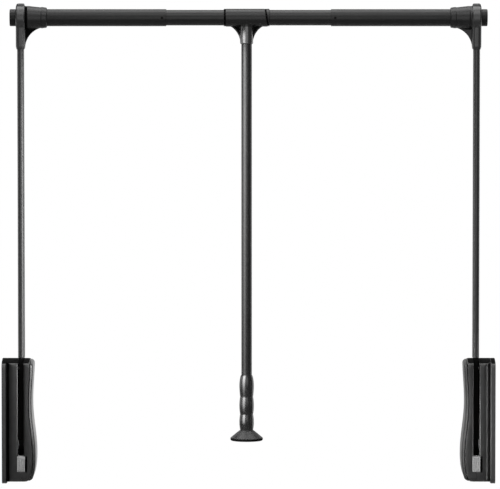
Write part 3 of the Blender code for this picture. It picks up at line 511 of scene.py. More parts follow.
def soften(piece, width, segments=PIECE_SEGMENTS):
    """Round the sharp edges of a piece and shade the rest smooth."""
    piece.data.shade_smooth()
    modifier = piece.modifiers.new("rounded edges", "BEVEL")
    modifier.limit_method = "ANGLE"
    modifier.angle_limit = SHARP
    modifier.width = width
    modifier.segments = segments
    modifier.use_clamp_overlap = True
    modifier.harden_normals = True
    piece.modifiers.new("even shading", "WEIGHTED_NORMAL").keep_sharp = True


def mould(piece):
    """Melt joined solids into one moulding with small fillets."""
    remesh = piece.modifiers.new("moulding", "REMESH")
    remesh.mode = "VOXEL"
    remesh.voxel_size = MOULD_VOXEL
    smooth = piece.modifiers.new("fillets", "SMOOTH")
    smooth.factor = MOULD_SMOOTH
    smooth.iterations = MOULD_PASSES
    apply_modifiers(piece)
    piece.data.shade_smooth()
    return piece


# Node materials

def add(tree, kind, **values):
    """Add a shader node and set its sockets and properties by name."""
    node = tree.nodes.new(kind)
    for key, value in values.items():
        label = key.replace("_", " ").title()
        if label in node.inputs:
            node.inputs[label].default_value = value
        else:
            setattr(node, key, value)
    return node


def shader_of(name, **values):
    """New material with its plain sockets set on the Principled shader itself."""
    material = bpy.data.materials.new(name)
    material.use_nodes = True
    shader = material.node_tree.nodes["Principled BSDF"]
    for label, value in values.items():
        shader.inputs[label.replace("_", " ")].default_value = value
    return material, material.node_tree, shader


def noise(tree, coordinates, scale, detail, stretch=(1, 1, 1)):
    """Noise over the coordinates, with its size in features per metre."""
    mapping = add(tree, "ShaderNodeMapping")
    mapping.inputs["Scale"].default_value = stretch
    texture = add(tree, "ShaderNodeTexNoise", scale=scale, detail=detail)
    tree.links.new(coordinates, mapping.inputs["Vector"])
    tree.links.new(mapping.outputs["Vector"], texture.inputs["Vector"])
    return texture.outputs["Fac"]


def over_range(tree, source, low, high):
    """Stretch a noise value over the range from low to high."""
    span = add(tree, "ShaderNodeMapRange")
    span.inputs["From Min"].default_value = NOISE_LOW
    span.inputs["From Max"].default_value = NOISE_HIGH
    span.inputs["To Min"].default_value = low
    span.inputs["To Max"].default_value = high
    tree.links.new(source, span.inputs["Value"])
    return span.outputs["Result"]


def mottled_grey(tree, shader, source, low, high):
    """Grey base colour that wanders between two levels."""
    value = over_range(tree, source, low, high)
    colour = add(tree, "ShaderNodeCombineColor")
    for channel in ("Red", "Green", "Blue"):
        tree.links.new(value, colour.inputs[channel])
    tree.links.new(colour.outputs["Color"], shader.inputs["Base Color"])


def bump(tree, shader, layers):
    """Chain bump layers given as (height socket, depth in metres, strength)."""
    normal = None
    for height, depth, strength in layers:
        node = add(tree, "ShaderNodeBump")
        node.inputs["Distance"].default_value = depth
        node.inputs["Strength"].default_value = strength
        tree.links.new(height, node.inputs["Height"])
        if normal is not None:
            tree.links.new(normal, node.inputs["Normal"])
        normal = node.outputs["Normal"]
    tree.links.new(normal, shader.inputs["Normal"])


def object_space(tree):
    return add(tree, "ShaderNodeTexCoord").outputs["Object"]


def surface(name, greys, mottle, roughs, sheen, **plain):
    """New material whose grey and roughness wander between two levels."""
    material, tree, shader = shader_of(name, **plain)
    space = object_space(tree)
    mottled_grey(tree, shader, noise(tree, space, *mottle), *greys)
    rough = over_range(tree, noise(tree, space, *sheen), *roughs)
    tree.links.new(rough, shader.inputs["Roughness"])
    return material, tree, shader, space


def relief(tree, space, grain, depth, strength):
    """Bump layer of noise."""
    return noise(tree, space, *grain), depth, strength


def powder_coat(name, grey, rough, gloss):
    """Satin black powder coat: orange peel about a millimetre wide and faint handling marks."""
    greys = [grey * share for share in PAINT_GREY_SHARES]
    roughs = [rough + step for step in PAINT_ROUGH_STEPS]
    material, tree, shader, space = surface(name, greys, PAINT_MOTTLE, roughs, PAINT_MARKS,
                                            Specular_IOR_Level=gloss)
    bump(tree, shader, [relief(tree, space, *PAINT_PEEL), relief(tree, space, *PAINT_GRAIN)])
    return material


def moulded_plastic(name, grey, rough, gloss, grain_depth):
    """Black moulded plastic with a fine spark-eroded grain and slight sheen changes."""
    greys = [grey * share for share in PLASTIC_GREY_SHARES]
    roughs = [rough + step for step in PLASTIC_ROUGH_STEPS]
    material, tree, shader, space = surface(name, greys, PLASTIC_MOTTLE, roughs, PLASTIC_SHEEN,
                                            Specular_IOR_Level=gloss)
    cells = add(tree, "ShaderNodeTexVoronoi", scale=PLASTIC_CELLS)
    tree.links.new(space, cells.inputs["Vector"])
    grain = (cells.outputs["Distance"], grain_depth, PLASTIC_GRAIN_STRENGTH)
    bump(tree, shader, [grain, relief(tree, space, *PLASTIC_WAVES)])
    return material


def zinc_steel(name):
    """Bright zinc plate with fine drawn lines along the length."""
    material, tree, shader, space = surface(name, ZINC_GREYS, ZINC_MOTTLE, ZINC_ROUGHS, ZINC_LINES,
                                            Metallic=1.0)
    bump(tree, shader, [relief(tree, space, *ZINC_DRAWN)])
    return material


def nylon(name):
    """Milky bearing nylon with a dull, slightly uneven skin."""
    material, tree, shader, space = surface(name, NYLON_GREYS, NYLON_MOTTLE, NYLON_ROUGHS, NYLON_SHEEN,
                                            Specular_IOR_Level=NYLON_GLOSS)
    bump(tree, shader, [relief(tree, space, *NYLON_SKIN)])
    return material


def rubber(name, low, high):
    """Dull rubber with a dusty bloom."""
    greys = (low, high)
    material, tree, shader, space = surface(name, greys, RUBBER_MOTTLE, RUBBER_ROUGHS, RUBBER_BLOOM,
                                            Specular_IOR_Level=RUBBER_GLOSS)
    bump(tree, shader, [relief(tree, space, *RUBBER_SKIN)])
    return material


def dress(piece, material):
    piece.data.materials.clear()
    piece.data.materials.append(material)


# Housing

def side_outline(inset, stations=1, drop=CASE_DROP, top=CASE_TOP_RADIUS):
    """Side view of the housing as (y, z), mirrored front to back, drawn in by inset."""
    reach = CASE_HALF - inset
    corner = max(CASE_CORNER - inset, CASE_CORNER_LEAST)
    radius = top - inset
    half = arc((reach - corner, inset - drop + corner), corner, -90, 0)
    crest = math.sqrt(radius ** 2 - reach ** 2)
    low = half[-1][1]
    high = crest - CASE_TOP_CORNER
    half += [(reach, low + (high - low) * i / stations) for i in range(1, stations + 1)]
    turn_y = reach * CASE_TURN
    turn_z = math.sqrt(radius ** 2 - turn_y ** 2)
    half += bend((reach, high), (reach, crest), (turn_y, turn_z), TURN_STEPS)[1:-1]
    for i in range(ARC_STEPS):
        y = turn_y * (1 - i / ARC_STEPS)
        half.append((y, math.sqrt(radius ** 2 - y ** 2)))
    return half + [(-y, z) for y, z in reversed(half)]


def face_x(z):
    """Distance of the S-curved inner face from the wall at height z."""
    if z >= FACE_WAIST_Z:
        t = min((z - FACE_WAIST_Z) / (CASE_TOP_RADIUS - FACE_WAIST_Z), 1)
        return FACE_WAIST_X + (FACE_TOP_X - FACE_WAIST_X) * (1 - math.cos(math.pi * t)) / 2
    if z >= FACE_BELLY_Z:
        t = (FACE_WAIST_Z - z) / (FACE_WAIST_Z - FACE_BELLY_Z)
        return FACE_WAIST_X + (FACE_BELLY_X - FACE_WAIST_X) * (1 - math.cos(math.pi * t)) / 2
    t = min((FACE_BELLY_Z - z) / (CASE_DROP + FACE_BELLY_Z), 1)
    return FACE_FOOT_X + (FACE_BELLY_X - FACE_FOOT_X) * math.sqrt(1 - t * t)


def side_loop(x, inset, stations=1):
    return [(x, y, z) for y, z in side_outline(inset, stations)]


def face_loop(offset, inset):
    return [(face_x(z) + offset, y, z) for y, z in side_outline(inset, FACE_STATIONS)]


def shoulder_loop(x, inset):
    """Full-height outline of the case, drawn in by inset at the front and back only."""
    limit = CASE_HALF - inset
    return [(x, max(-limit, min(limit, y)), z) for y, z in side_outline(0)]


def base_loop(x, inset):
    """Outline of the base, which stands out past the case except at the top."""
    drop = CASE_DROP + BASE_BOTTOM_OVERHANG - BASE_OVERHANG
    outline = side_outline(inset - BASE_OVERHANG, drop=drop, top=CASE_TOP_RADIUS - BASE_OVERHANG)
    return [(x, y, z) for y, z in outline]


def slot_tools(side):
    """Solids that open the case for the lever and the buffer, with a shadow gap right of the buffer."""
    low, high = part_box("left_stop_buffer")
    front = -CASE_HALF
    half = SLOT_WIDTH / 2
    top = CASE_TOP_RADIUS + PAST
    roll = [(half + SLOT_ROLL * (1 - cosine), front + SLOT_ROLL * (1 - sine))
            for sine, cosine in quarter(ROLL_STEPS)]
    edge = [(half, SLOT_BACK), *roll, (half + SLOT_ROLL, front - PAST)]
    outline = [(ARM_PLANE + x, y) for x, y in edge] + [(ARM_PLANE - x, y) for x, y in reversed(edge)]
    slot = prism(outline, high.z - 2 * PAST, top, "Z")
    left, right = (FIT, WINDOW_SHADOW) if side == "left" else (WINDOW_SHADOW, FIT)
    wide = BUFFER_WIDTH / 2
    window = block((ARM_PLANE - wide - left, front - PAST, low.z - FIT),
                   (ARM_PLANE + wide + right, high.y, high.z - PAST))
    return slot, window


def make_buffer():
    """Rubber block with upright grooves in its face and a top that slopes like the lowered lever."""
    low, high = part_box("left_stop_buffer")
    edge = BUFFER_EDGE
    top = high.z - (high.y - low.y) * BUFFER_SLOPE
    outline = [(low.y + edge, low.z), (high.y, low.z), (high.y, high.z),
               (low.y + edge, top), (low.y, top - edge), (low.y, low.z + edge)]
    half = BUFFER_WIDTH / 2
    body = prism(outline, ARM_PLANE - half, ARM_PLANE + half, "X")
    for place in BUFFER_GROOVES:
        start = ARM_PLANE + place - BUFFER_GROOVE_WIDTH / 2
        cut(body, block((start, low.y - PAST, low.z - PAST),
                        (start + BUFFER_GROOVE_WIDTH, low.y + BUFFER_GROOVE_DEPTH, high.z + PAST)))
    return body


def make_base():
    loops = [base_loop(BASE_FLOOR, BASE_RIM), base_loop(BASE_THICK, BASE_RIM)]
    for sine, cosine in quarter(ROLL_STEPS):
        loops.append(base_loop(BASE_THICK - BASE_EDGE * (1 - cosine), BASE_EDGE * (1 - sine)))
    loops.append(base_loop(0, 0))
    return cut(stack(loops), *wall_holes())


def wall_holes():
    """Tools for the four screw holes in the base."""
    front = WALL_HOLE_INSET - CASE_HALF
    low = WALL_HOLE_RISE - CASE_DROP
    high = CASE_TOP_RADIUS - WALL_HOLE_SINK
    places = ((front, low), (-front, low), (front, high), (CASE_HALF - WALL_HOLE_BACK_INSET, high))
    return [cylinder(WALL_HOLE_RADIUS, -PAST, BASE_FLOOR + PAST, (0, y, z), "X") for y, z in places]


def make_outer_shell(side):
    turns = quarter(SHOULDER_STEPS)
    start = BASE_THICK + FIT
    end = ARM_PLANE - CASE_SPLIT
    mouth = BASE_THICK - CASE_SINK
    loops = [shoulder_loop(mouth, CASE_SHOULDER_Y)]
    for sine, cosine in turns:
        x = start + CASE_SHOULDER_X * (1 - cosine)
        loops.append(shoulder_loop(x, CASE_SHOULDER_Y * (1 - sine)))
    loops += [side_loop(end, 0), side_loop(end, CASE_WALL)]
    for sine, cosine in reversed(turns[SHOULDER_SKIP:]):
        x = start + CASE_WALL + (CASE_SHOULDER_X - CASE_WALL) * (1 - cosine)
        loops.append(side_loop(x, CASE_WALL + (CASE_SHOULDER_Y - CASE_WALL) * (1 - sine)))
    loops.append(side_loop(start + CASE_WALL, CASE_SHOULDER_Y))
    loops.append(side_loop(mouth, CASE_SHOULDER_Y + CASE_WALL))
    return cut(skin(loops, wrap=True), *slot_tools(side))


def edge_inset(offset):
    """How far the housing's rounded inner edge is drawn in, at an offset from the S-curved face."""
    share = max(0, offset + EDGE_START) / (CAP_GAP + CAP_THICK + EDGE_START)
    return EDGE_ROUND * (1 - math.sqrt(max(0, 1 - share * share)))


def edge_loop(offset, inset=0):
    return face_loop(offset, edge_inset(offset) + inset)


def make_inner_shell(side):
    start = ARM_PLANE + CASE_SPLIT
    loops = [face_loop(-CASE_WALL, 2 * CASE_WALL), face_loop(-EDGE_START, CASE_WALL),
             side_loop(start, CASE_WALL, FACE_STATIONS), side_loop(start, 0, FACE_STATIONS)]
    loops += [edge_loop(offset) for offset in SHELL_STEPS]
    loops += [edge_loop(-SEAM_CHAMFER), edge_loop(0, SEAM_CHAMFER)]
    return cut(stack(loops), *slot_tools(side))


def make_side_cap():
    loops = [edge_loop(CAP_GAP, SEAM_CHAMFER), edge_loop(CAP_GAP + SEAM_CHAMFER)]
    loops += [edge_loop(CAP_GAP + CAP_THICK * share) for share in CAP_STEPS]
    return stack(loops)


# Arm, corner and rail

def oval(thick, depth):
    """Flat oval in (x, y) about the arm plane."""
    radius = thick / 2
    straight = depth / 2 - radius
    points = arc((ARM_PLANE, straight), radius, 0, 180)
    points += arc((ARM_PLANE, -straight), radius, 180, 360)
    return points


def make_arm_tube():
    low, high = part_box("left_arm_tube")
    thick = high.x - low.x
    depth = high.y - low.y
    outer = oval(thick, depth)
    inner = oval(thick - 2 * ARM_WALL, depth - 2 * ARM_WALL)
    loops = [[(x, y, z) for x, y in outline] for outline, z in
             ((inner, low.z), (outer, low.z), (outer, high.z), (inner, high.z))]
    return skin(loops, wrap=True)


def rounded_box(thick, depth, radius, z):
    """Level loop about the arm plane with rounded corners."""
    x = thick / 2 - radius
    y = depth / 2 - radius
    loop = []
    for dx, dy, start in ((x, y, 0), (-x, y, 90), (-x, -y, 180), (x, -y, 270)):
        turn = arc((ARM_PLANE + dx, dy), radius, start, start + 90, TURN_STEPS)
        loop += [(px, py, z) for px, py in turn]
    return loop


def make_corner(side):
    """Corner moulding: eye and sleeve round the rail, socket for the arm, curved web between.

    The groove between eye and sleeve is deep on the left side and a shallow dip on the right, with a
    rib across it on top.
    """
    low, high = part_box("left_corner")
    tube_low, tube_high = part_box("left_rail_tube")
    arm_low, arm_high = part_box("left_arm_tube")
    near = low.x
    far = near + CORNER_WIDTH
    end = high.x
    axis = (0, 0, RAIL_Z)
    bore = (tube_high.z - tube_low.z) / 2 + FIT
    groove = bore + SLEEVE_GROOVE_WALL if side == "left" else SLEEVE_ROOT_RADIUS - PAST
    sleeve = far + SLEEVE_GROOVE
    lip = end - SLEEVE_LIP
    lip_radius = SLEEVE_END_RADIUS + (SLEEVE_ROOT_RADIUS - SLEEVE_END_RADIUS) * SLEEVE_LIP / (end - far)
    profile = [(bore, near), (CORNER_RADIUS - CORNER_EDGE, near), (CORNER_RADIUS, near + CORNER_EDGE),
               (CORNER_RADIUS, far - CORNER_EDGE), (CORNER_RADIUS - CORNER_EDGE, far),
               (groove, far), (groove, sleeve),
               (SLEEVE_ROOT_RADIUS - PAST, sleeve), (SLEEVE_ROOT_RADIUS, sleeve + PAST),
               (lip_radius - SLEEVE_LIP_PROUD, lip),
               (lip_radius + SLEEVE_LIP_PROUD, lip + SLEEVE_LIP_PROUD),
               (SLEEVE_END_RADIUS, end - PAST), (SLEEVE_END_RADIUS - PAST, end), (bore, end)]
    body = turned(profile, axis, "X", hollow=True)
    saddle = cylinder((bore + SLEEVE_END_RADIUS) / 2, near - PAST, end + PAST, axis, "X")
    half_rib = SLEEVE_RIB_WIDTH / 2
    rib = block((far - CORNER_EDGE - PAST, -half_rib, RAIL_Z + bore),
                (sleeve + 2 * PAST, half_rib, RAIL_Z + SLEEVE_ROOT_RADIUS - SLEEVE_RIB_SINK))
    join(body, cut(join(corner_neck(low.z), gusset(far, end), corner_pad(high.z), rib), saddle))
    socket = oval(arm_high.x - arm_low.x + 2 * FIT, arm_high.y - arm_low.y + 2 * FIT)
    socket_loops = [[(x, y, z) for x, y in socket] for z in (low.z - PAST, arm_high.z + FIT)]
    screw_axis = (ARM_PLANE, 0, RAIL_Z)
    screw = cylinder(CORNER_SCREW_RADIUS, bore - 2 * PAST, high.z - RAIL_Z + PAST, screw_axis, "Z")
    return mould(cut(body, skin(socket_loops), screw))


def corner_neck(bottom):
    """Tapered block that takes the top of the arm."""
    width = CORNER_WIDTH - 2 * WELD
    depth = CORNER_NECK_DEPTH
    end_round = CORNER_NECK_ROUND - CORNER_TAPER_IN
    return skin([
        rounded_box(width - 2 * CORNER_TAPER_IN, depth - 2 * CORNER_TAPER_IN, end_round, bottom),
        rounded_box(width, depth, CORNER_NECK_ROUND, bottom + CORNER_TAPER),
        rounded_box(width, depth + CORNER_NECK_FLARE, CORNER_NECK_ROUND, RAIL_Z - CORNER_NECK_TOP),
    ])


def gusset(far, end):
    """Web with a quarter-round lower edge between the neck and the sleeve."""
    root = far - GUSSET_ROOT
    top = RAIL_Z - SLEEVE_END_RADIUS + 2 * GUSSET_SINK
    low = RAIL_Z - SLEEVE_END_RADIUS + GUSSET_SINK - GUSSET_RADIUS
    outline = [(root, top), (end - PAST, top)]
    outline += arc((end - PAST, low), GUSSET_RADIUS, 90, 180, 2 * ARC_STEPS)
    outline.append((root, low))
    return prism(outline, -GUSSET_THICK / 2, GUSSET_THICK / 2, "Y")


def corner_pad(top):
    """Pad on top of the eye, for the set screw, a little narrower at its top."""
    width = CORNER_WIDTH - 2 * WELD
    taper = 2 * CORNER_PAD_TAPER
    depth = CORNER_PAD_DEPTH
    return skin([
        rounded_box(width, depth, CORNER_PAD_ROUND, RAIL_Z + SLEEVE_END_RADIUS),
        rounded_box(width - taper, depth - taper, CORNER_PAD_ROUND, top - CORNER_PAD_EDGE / 2),
        rounded_box(width - 2 * taper, depth - 2 * taper, CORNER_PAD_ROUND / 2, top),
    ])


def make_rail_tube():
    low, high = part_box("left_rail_tube")
    radius = (high.z - low.z) / 2
    return tube(radius, radius - RAIL_WALL, low.x, high.x, (0, 0, RAIL_Z), "X")


def make_end_cap():
    """Cap with a rounded rim and a shallow dish in its end."""
    low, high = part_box("left_end_cap")
    tube_low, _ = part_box("left_rail_tube")
    radius = (high.z - low.z) / 2
    rim = END_CAP_RIM
    dish = low.x + END_CAP_DISH
    seat = tube_low.x - FIT
    plug = radius - RAIL_WALL - FIT
    profile = [(0, dish), (radius - END_CAP_DISH_EDGE, dish), (radius - 2 * rim, low.x)]
    profile += [(radius - rim + rim * sine, low.x + rim - rim * cosine)
                for sine, cosine in quarter(TURN_STEPS)]
    profile += [(radius, seat), (plug, seat), (plug, high.x), (0, high.x)]
    return turned(profile, (0, 0, RAIL_Z), "X")


def make_inner_tube():
    low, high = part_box("rail_inner_tube")
    radius = (high.z - low.z) / 2
    return tube(radius, radius - INNER_WALL, low.x, high.x, (0, 0, RAIL_Z), "X")


# Tee, pull rod, grip and foot

def make_tee():
    """Sleeve that turns on the inner tube, with a webbed socket for the pull rod."""
    low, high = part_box("tee")
    tube_low, tube_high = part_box("rail_inner_tube")
    rod_low, rod_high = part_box("pull_rod_tube")
    half = (high.x - low.x) / 2
    radius = TEE_RADIUS
    bore = (tube_high.z - tube_low.z) / 2 + TEE_PLAY
    axis = (ROD_X, 0, RAIL_Z)
    edge = TEE_EDGE
    rim = [(bore, half), (radius - edge, half), (radius, half - edge)]
    body = turned(rim + [(r, -x) for r, x in reversed(rim)], axis, "X", hollow=True)
    cut(body, tee_groove(half, -1, 0), tee_groove(half, 1, TEE_GROOVE_SLANT))
    drop = low.z - RAIL_Z
    stem = turned([(0, drop), (TEE_NECK_END_RADIUS - edge, drop), (TEE_NECK_END_RADIUS, drop + edge),
                   (TEE_NECK_RADIUS, drop + TEE_NECK_TAPER), (TEE_NECK_RADIUS, 0), (0, 0)], axis, "Z")
    saddle = cylinder((bore + radius) / 2, -half, half, axis, "X")
    join(body, cut(join(stem, tee_web(bore, drop)), saddle))
    rod_radius = (rod_high.x - rod_low.x) / 2
    socket = cylinder(rod_radius + FIT, drop - PAST, rod_high.z - RAIL_Z + FIT, axis, "Z")
    return mould(cut(body, socket))


def tee_groove_edges(half, end, slant):
    """Groove near one end of the tee as (x, z) corners, leaning outward to the bottom by slant."""
    outer = half - TEE_GROOVE_BACK
    inner = outer - TEE_GROOVE_WIDTH
    low = RAIL_Z - TEE_RADIUS
    high = RAIL_Z + TEE_RADIUS
    corners = [(inner, low), (outer, low), (outer - slant, high), (inner - slant, high)]
    return [(ROD_X + end * x, z) for x, z in corners]


def tee_groove(half, end, slant):
    reach = TEE_RADIUS + PAST
    ring = prism(tee_groove_edges(half, end, slant), -reach, reach, "Y")
    return cut(ring, cylinder(TEE_RADIUS - TEE_GROOVE_DEPTH, -half, half, (ROD_X, 0, RAIL_Z), "X"))


def tee_web_curve(drop):
    """Lower edge of the tee's right web as (distance from the rod's axis, z)."""
    return bend((TEE_NECK_END_RADIUS - TEE_WEB_SINK, RAIL_Z + drop + TEE_WEB_RISE),
                (TEE_NECK_RADIUS + TEE_WEB_BEND, RAIL_Z - TEE_RADIUS - TEE_WEB_BEND_DROP),
                (TEE_NECK_RADIUS + TEE_WEB_REACH, RAIL_Z - TEE_RADIUS + TEE_WEB_SINK))


def tee_web(bore, drop):
    """Web on both sides of the tee's neck, with long curved lower edges."""
    curve = tee_web_curve(drop)
    curve.append((TEE_NECK_RADIUS + TEE_WEB_REACH, RAIL_Z - bore - TEE_WEB_SINK))
    outline = [(ROD_X + x, z) for x, z in curve] + [(ROD_X - x, z) for x, z in reversed(curve)]
    return prism(outline, -TEE_WEB_THICK / 2, TEE_WEB_THICK / 2, "Y")


def make_rod_tube():
    low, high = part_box("pull_rod_tube")
    radius = (high.x - low.x) / 2
    return tube(radius, radius - ROD_WALL, low.z, high.z, (ROD_X, 0, 0), "Z")


def make_grip():
    """Grip of three bulges over the end of the rod."""
    low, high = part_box("pull_grip")
    rod_low, rod_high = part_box("pull_rod_tube")
    bore = (rod_high.x - rod_low.x) / 2 + FIT
    waists = (GRIP_LIP_RADIUS, GRIP_WAIST_RADIUS, GRIP_WAIST_RADIUS, GRIP_WAIST_RADIUS)
    profile = [(bore, high.z), (bore + FIT, high.z)]
    top = high.z
    for i, length in enumerate(GRIP_BULGES):
        for k in range(0 if i else 1, GRIP_STEPS):
            t = k / GRIP_STEPS
            waist = waists[i] + (waists[i + 1] - waists[i]) * t
            radius = waist + (GRIP_BULGE_RADIUS - waist) * math.sin(math.pi * t) ** GRIP_FULLNESS
            profile.append((radius, top - length * t))
        top -= length
    profile += [(GRIP_WAIST_RADIUS, low.z), (bore, low.z)]
    return turned(profile, (ROD_X, 0, 0), "Z", hollow=True)


def make_bell():
    """Flared foot under the grip, dished below."""
    low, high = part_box("pull_bell")
    grip_low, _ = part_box("pull_grip")
    rod_low, rod_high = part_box("pull_rod_tube")
    radius = (high.x - low.x) / 2
    plug = (rod_high.x - rod_low.x) / 2 - FIT
    top = grip_low.z - FIT
    rim = low.z + BELL_RIM
    profile = [(0, high.z), (plug, high.z), (plug, top), (GRIP_WAIST_RADIUS, top)]
    for i in range(1, BELL_STEPS + 1):
        t = i / BELL_STEPS
        flare = GRIP_WAIST_RADIUS + (radius - GRIP_WAIST_RADIUS) * t ** BELL_FLARE
        profile.append((flare, top + (rim - top) * t))
    dish = low.z + BELL_DISH
    profile += [(radius, low.z + BELL_EDGE), (radius - BELL_EDGE, low.z), (radius - BELL_FOOT, low.z),
                (BELL_DISH_RADIUS, dish), (0, dish)]
    return turned(profile, (ROD_X, 0, 0), "Z")


# Dressing the frame

def name_of(node):
    """Name of the piece that stands for a node."""
    return node + ".look"


def show(piece, node, material, edge):
    """Name a piece after the node that it stands for, finish it and hang it on its body.

    Its sharp edges are rounded by edge, or left as they are where edge is 0.
    """
    piece.name = name_of(node)
    dress(piece, material)
    if edge:
        soften(piece, edge)
    else:
        piece.data.shade_smooth()
        piece.data.set_sharp_from_angle(angle=SHARP)
    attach(piece, BODY_OF[node])
    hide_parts(node)


def reflect(piece):
    """Turn a piece of the left side into its mirror image on the right side."""
    piece.data.transform(MIRROR)
    piece.data.flip_normals()
    return piece


def show_pair(piece, kind, material, edge):
    """Show a piece of the left side and its mirror image on the right side."""
    twin = reflect(link_object("twin", piece.data.copy()))
    for side, item in zip(SIDES, (piece, twin)):
        show(item, f"{side}_{kind}", material, edge)


def shade(node, material, is_part):
    """Give the faces of a piece that a test picks a finish of their own."""
    mesh = bpy.data.objects[name_of(node)].data
    mesh.materials.append(material)
    for polygon in mesh.polygons:
        if is_part(polygon.center, polygon.normal):
            polygon.material_index = len(mesh.materials) - 1


def on_gusset(centre, normal):
    """True on the web under the left corner's sleeve and in the groove beside its eye, which are
    painted in shade.
    """
    if centre.x < BLOCK_END:
        return False
    radius = math.hypot(centre.y, centre.z - RAIL_Z)
    if centre.x < BLOCK_END + SLEEVE_GROOVE and radius < SLEEVE_ROOT_RADIUS - PAST:
        return True
    under = centre.z < RAIL_Z - SLEEVE_END_RADIUS + GUSSET_SINK
    return under and abs(normal.y) > WEB_FACING and abs(centre.y) < GUSSET_THICK / 2 + MOULD_VOXEL


def on_block(centre, normal):
    """True on the eye, neck and pad of a corner, which are painted lighter than the sleeve with the
    base plastic.
    """
    return min(centre.x, WIDTH - centre.x) < BLOCK_END


def tee_tests():
    """Tests for the tee's webs and grooves, which are painted in shade, and for its stem."""
    low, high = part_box("tee")
    half = (high.x - low.x) / 2
    curve = tee_web_curve(low.z - RAIL_Z)
    grooves = [tee_groove_edges(half, -1, 0), tee_groove_edges(half, 1, TEE_GROOVE_SLANT)]

    def on_web(centre, normal):
        beside = abs(centre.x - ROD_X)
        if centre.z > RAIL_Z - TEE_RADIUS or beside < TEE_WEB_START or abs(normal.y) < WEB_FACING:
            return False
        rim = min(math.hypot(beside - x, centre.z - z) for x, z in curve)
        return rim > TEE_WEB_RIM and abs(centre.y) < TEE_WEB_THICK / 2 + MOULD_VOXEL

    def in_groove(centre, normal):
        if centre.z < RAIL_Z - TEE_RADIUS:
            return False
        share = (centre.z - RAIL_Z + TEE_RADIUS) / (2 * TEE_RADIUS)
        for one, two, three, four in grooves:
            ends = sorted((one[0] + (four[0] - one[0]) * share, two[0] + (three[0] - two[0]) * share))
            if ends[0] < centre.x < ends[1]:
                return True
        return False

    def on_stem(centre, normal):
        beside = math.hypot(centre.x - ROD_X, centre.y)
        return beside < TEE_NECK_RADIUS + MOULD_VOXEL and centre.z < RAIL_Z - TEE_RADIUS

    return on_web, in_groove, on_stem


def under_rim(centre, normal):
    """True on the upright rim of the foot and below it, which are painted in shade."""
    return centre.z < BELL_LOW + BELL_RIM


def on_top(centre, normal):
    """True on the level top of a housing, which is painted in shade."""
    return normal.z > TOP_LEVEL


def beside_base(centre, normal):
    """True on both sides of the deep groove between the left base and its case, which are painted in
    shade.
    """
    return GROOVE_START < centre.x < GROOVE_END and normal.z < TOP_LEVEL


def make_looks():
    """Every finish under a short name."""
    looks = {key: powder_coat(*row) for key, row in PAINTS.items()}
    looks.update((key, moulded_plastic(*row)) for key, row in PLASTICS.items())
    looks.update((key, rubber(*row)) for key, row in RUBBERS.items())
    looks["zinc"] = zinc_steel("zinc plated steel")
    looks["nylon"] = nylon("bearing nylon")
    return looks


def show_pieces(looks):
    """Make the finer pieces and show them in place of their nodes."""
    show_pair(make_base(), "base", looks["base"], 0)
    for kind, maker, look, edge in (("outer_shell", make_outer_shell, "case", 0),
                                    ("inner_shell", make_inner_shell, "case", SMALL_EDGE),
                                    ("corner", make_corner, "fitting", 0)):
        for side in SIDES:
            piece = maker(side) if side == "left" else reflect(maker(side))
            show(piece, f"{side}_{kind}", looks[look], edge)
    for kind, maker, look, edge in (("side_cap", make_side_cap, "cap", 0),
                                    ("stop_buffer", make_buffer, "grey_rubber", BUFFER_SOFT),
                                    ("arm_tube", make_arm_tube, "arm", SMALL_EDGE),
                                    ("rail_tube", make_rail_tube, "tube", 0),
                                    ("end_cap", make_end_cap, "plug", 0)):
        show_pair(maker(), kind, looks[look], edge)
    # The right side cap gets the shaded, duller copy of the cap plastic: painted shade on its rounded
    # edge
    dress(bpy.data.objects[name_of("right_side_cap")], looks["shaded_dull_cap"])
    for node, maker, look in (("rail_inner_tube", make_inner_tube, "rod"),
                              ("tee", make_tee, "fitting"),
                              ("pull_rod_tube", make_rod_tube, "rod"),
                              ("pull_grip", make_grip, "gloss"),
                              ("pull_bell", make_bell, "foot")):
        show(maker(), node, looks[look], 0)


def mark_faces(looks):
    """Paint shade on the housings' tops, the left groove, the webs and grooves and the foot's rim,
    paint the corner blocks lighter, and give the tee's stem a glossier finish.
    """
    painted_shade = looks["painted_shade"]
    for side in SIDES:
        for kind in ("base", "outer_shell", "inner_shell", "side_cap"):
            # Painted shade on the level tops of the housings
            shade(f"{side}_{kind}", painted_shade, on_top)
        # Painted light: the corner's eye, neck and pad get the lighter, glossier base plastic
        shade(f"{side}_corner", looks["base"], on_block)
    # Painted shade in the deep groove beside the left base, on the base and the outer shell
    for kind in ("base", "outer_shell"):
        shade(f"left_{kind}", painted_shade, beside_base)
    # Painted shade on the left corner's web and in the groove beside its eye
    shade("left_corner", painted_shade, on_gusset)
    on_web, in_groove, on_stem = tee_tests()
    shade("tee", looks["bright"], on_stem)
    # Painted shade on the tee's webs and in its end grooves
    shade("tee", painted_shade, on_web)
    shade("tee", painted_shade, in_groove)
    # Painted shade on the foot's upright rim and below it
    shade("pull_bell", painted_shade, under_rim)


def dress_nodes(looks):
    """Give every CAD node that still shows its finish and small rounded edges."""
    look_of = {kind: looks[look] for look, kinds in NODE_LOOKS.items() for kind in kinds}
    for name, node in nodes.items():
        if node.hide_render:
            continue
        kind = name.removeprefix("left_").removeprefix("right_")
        dress(node, look_of[kind])
        weld = node.modifiers.new("weld", "WELD")
        weld.merge_threshold = WELD
        soften(node, SMALL_EDGE, NODE_SEGMENTS)


def dress_frame():
    """Finish everything that belongs to the object."""
    looks = make_looks()
    show_pieces(looks)
    mark_faces(looks)
    dress_nodes(looks)


# Studio

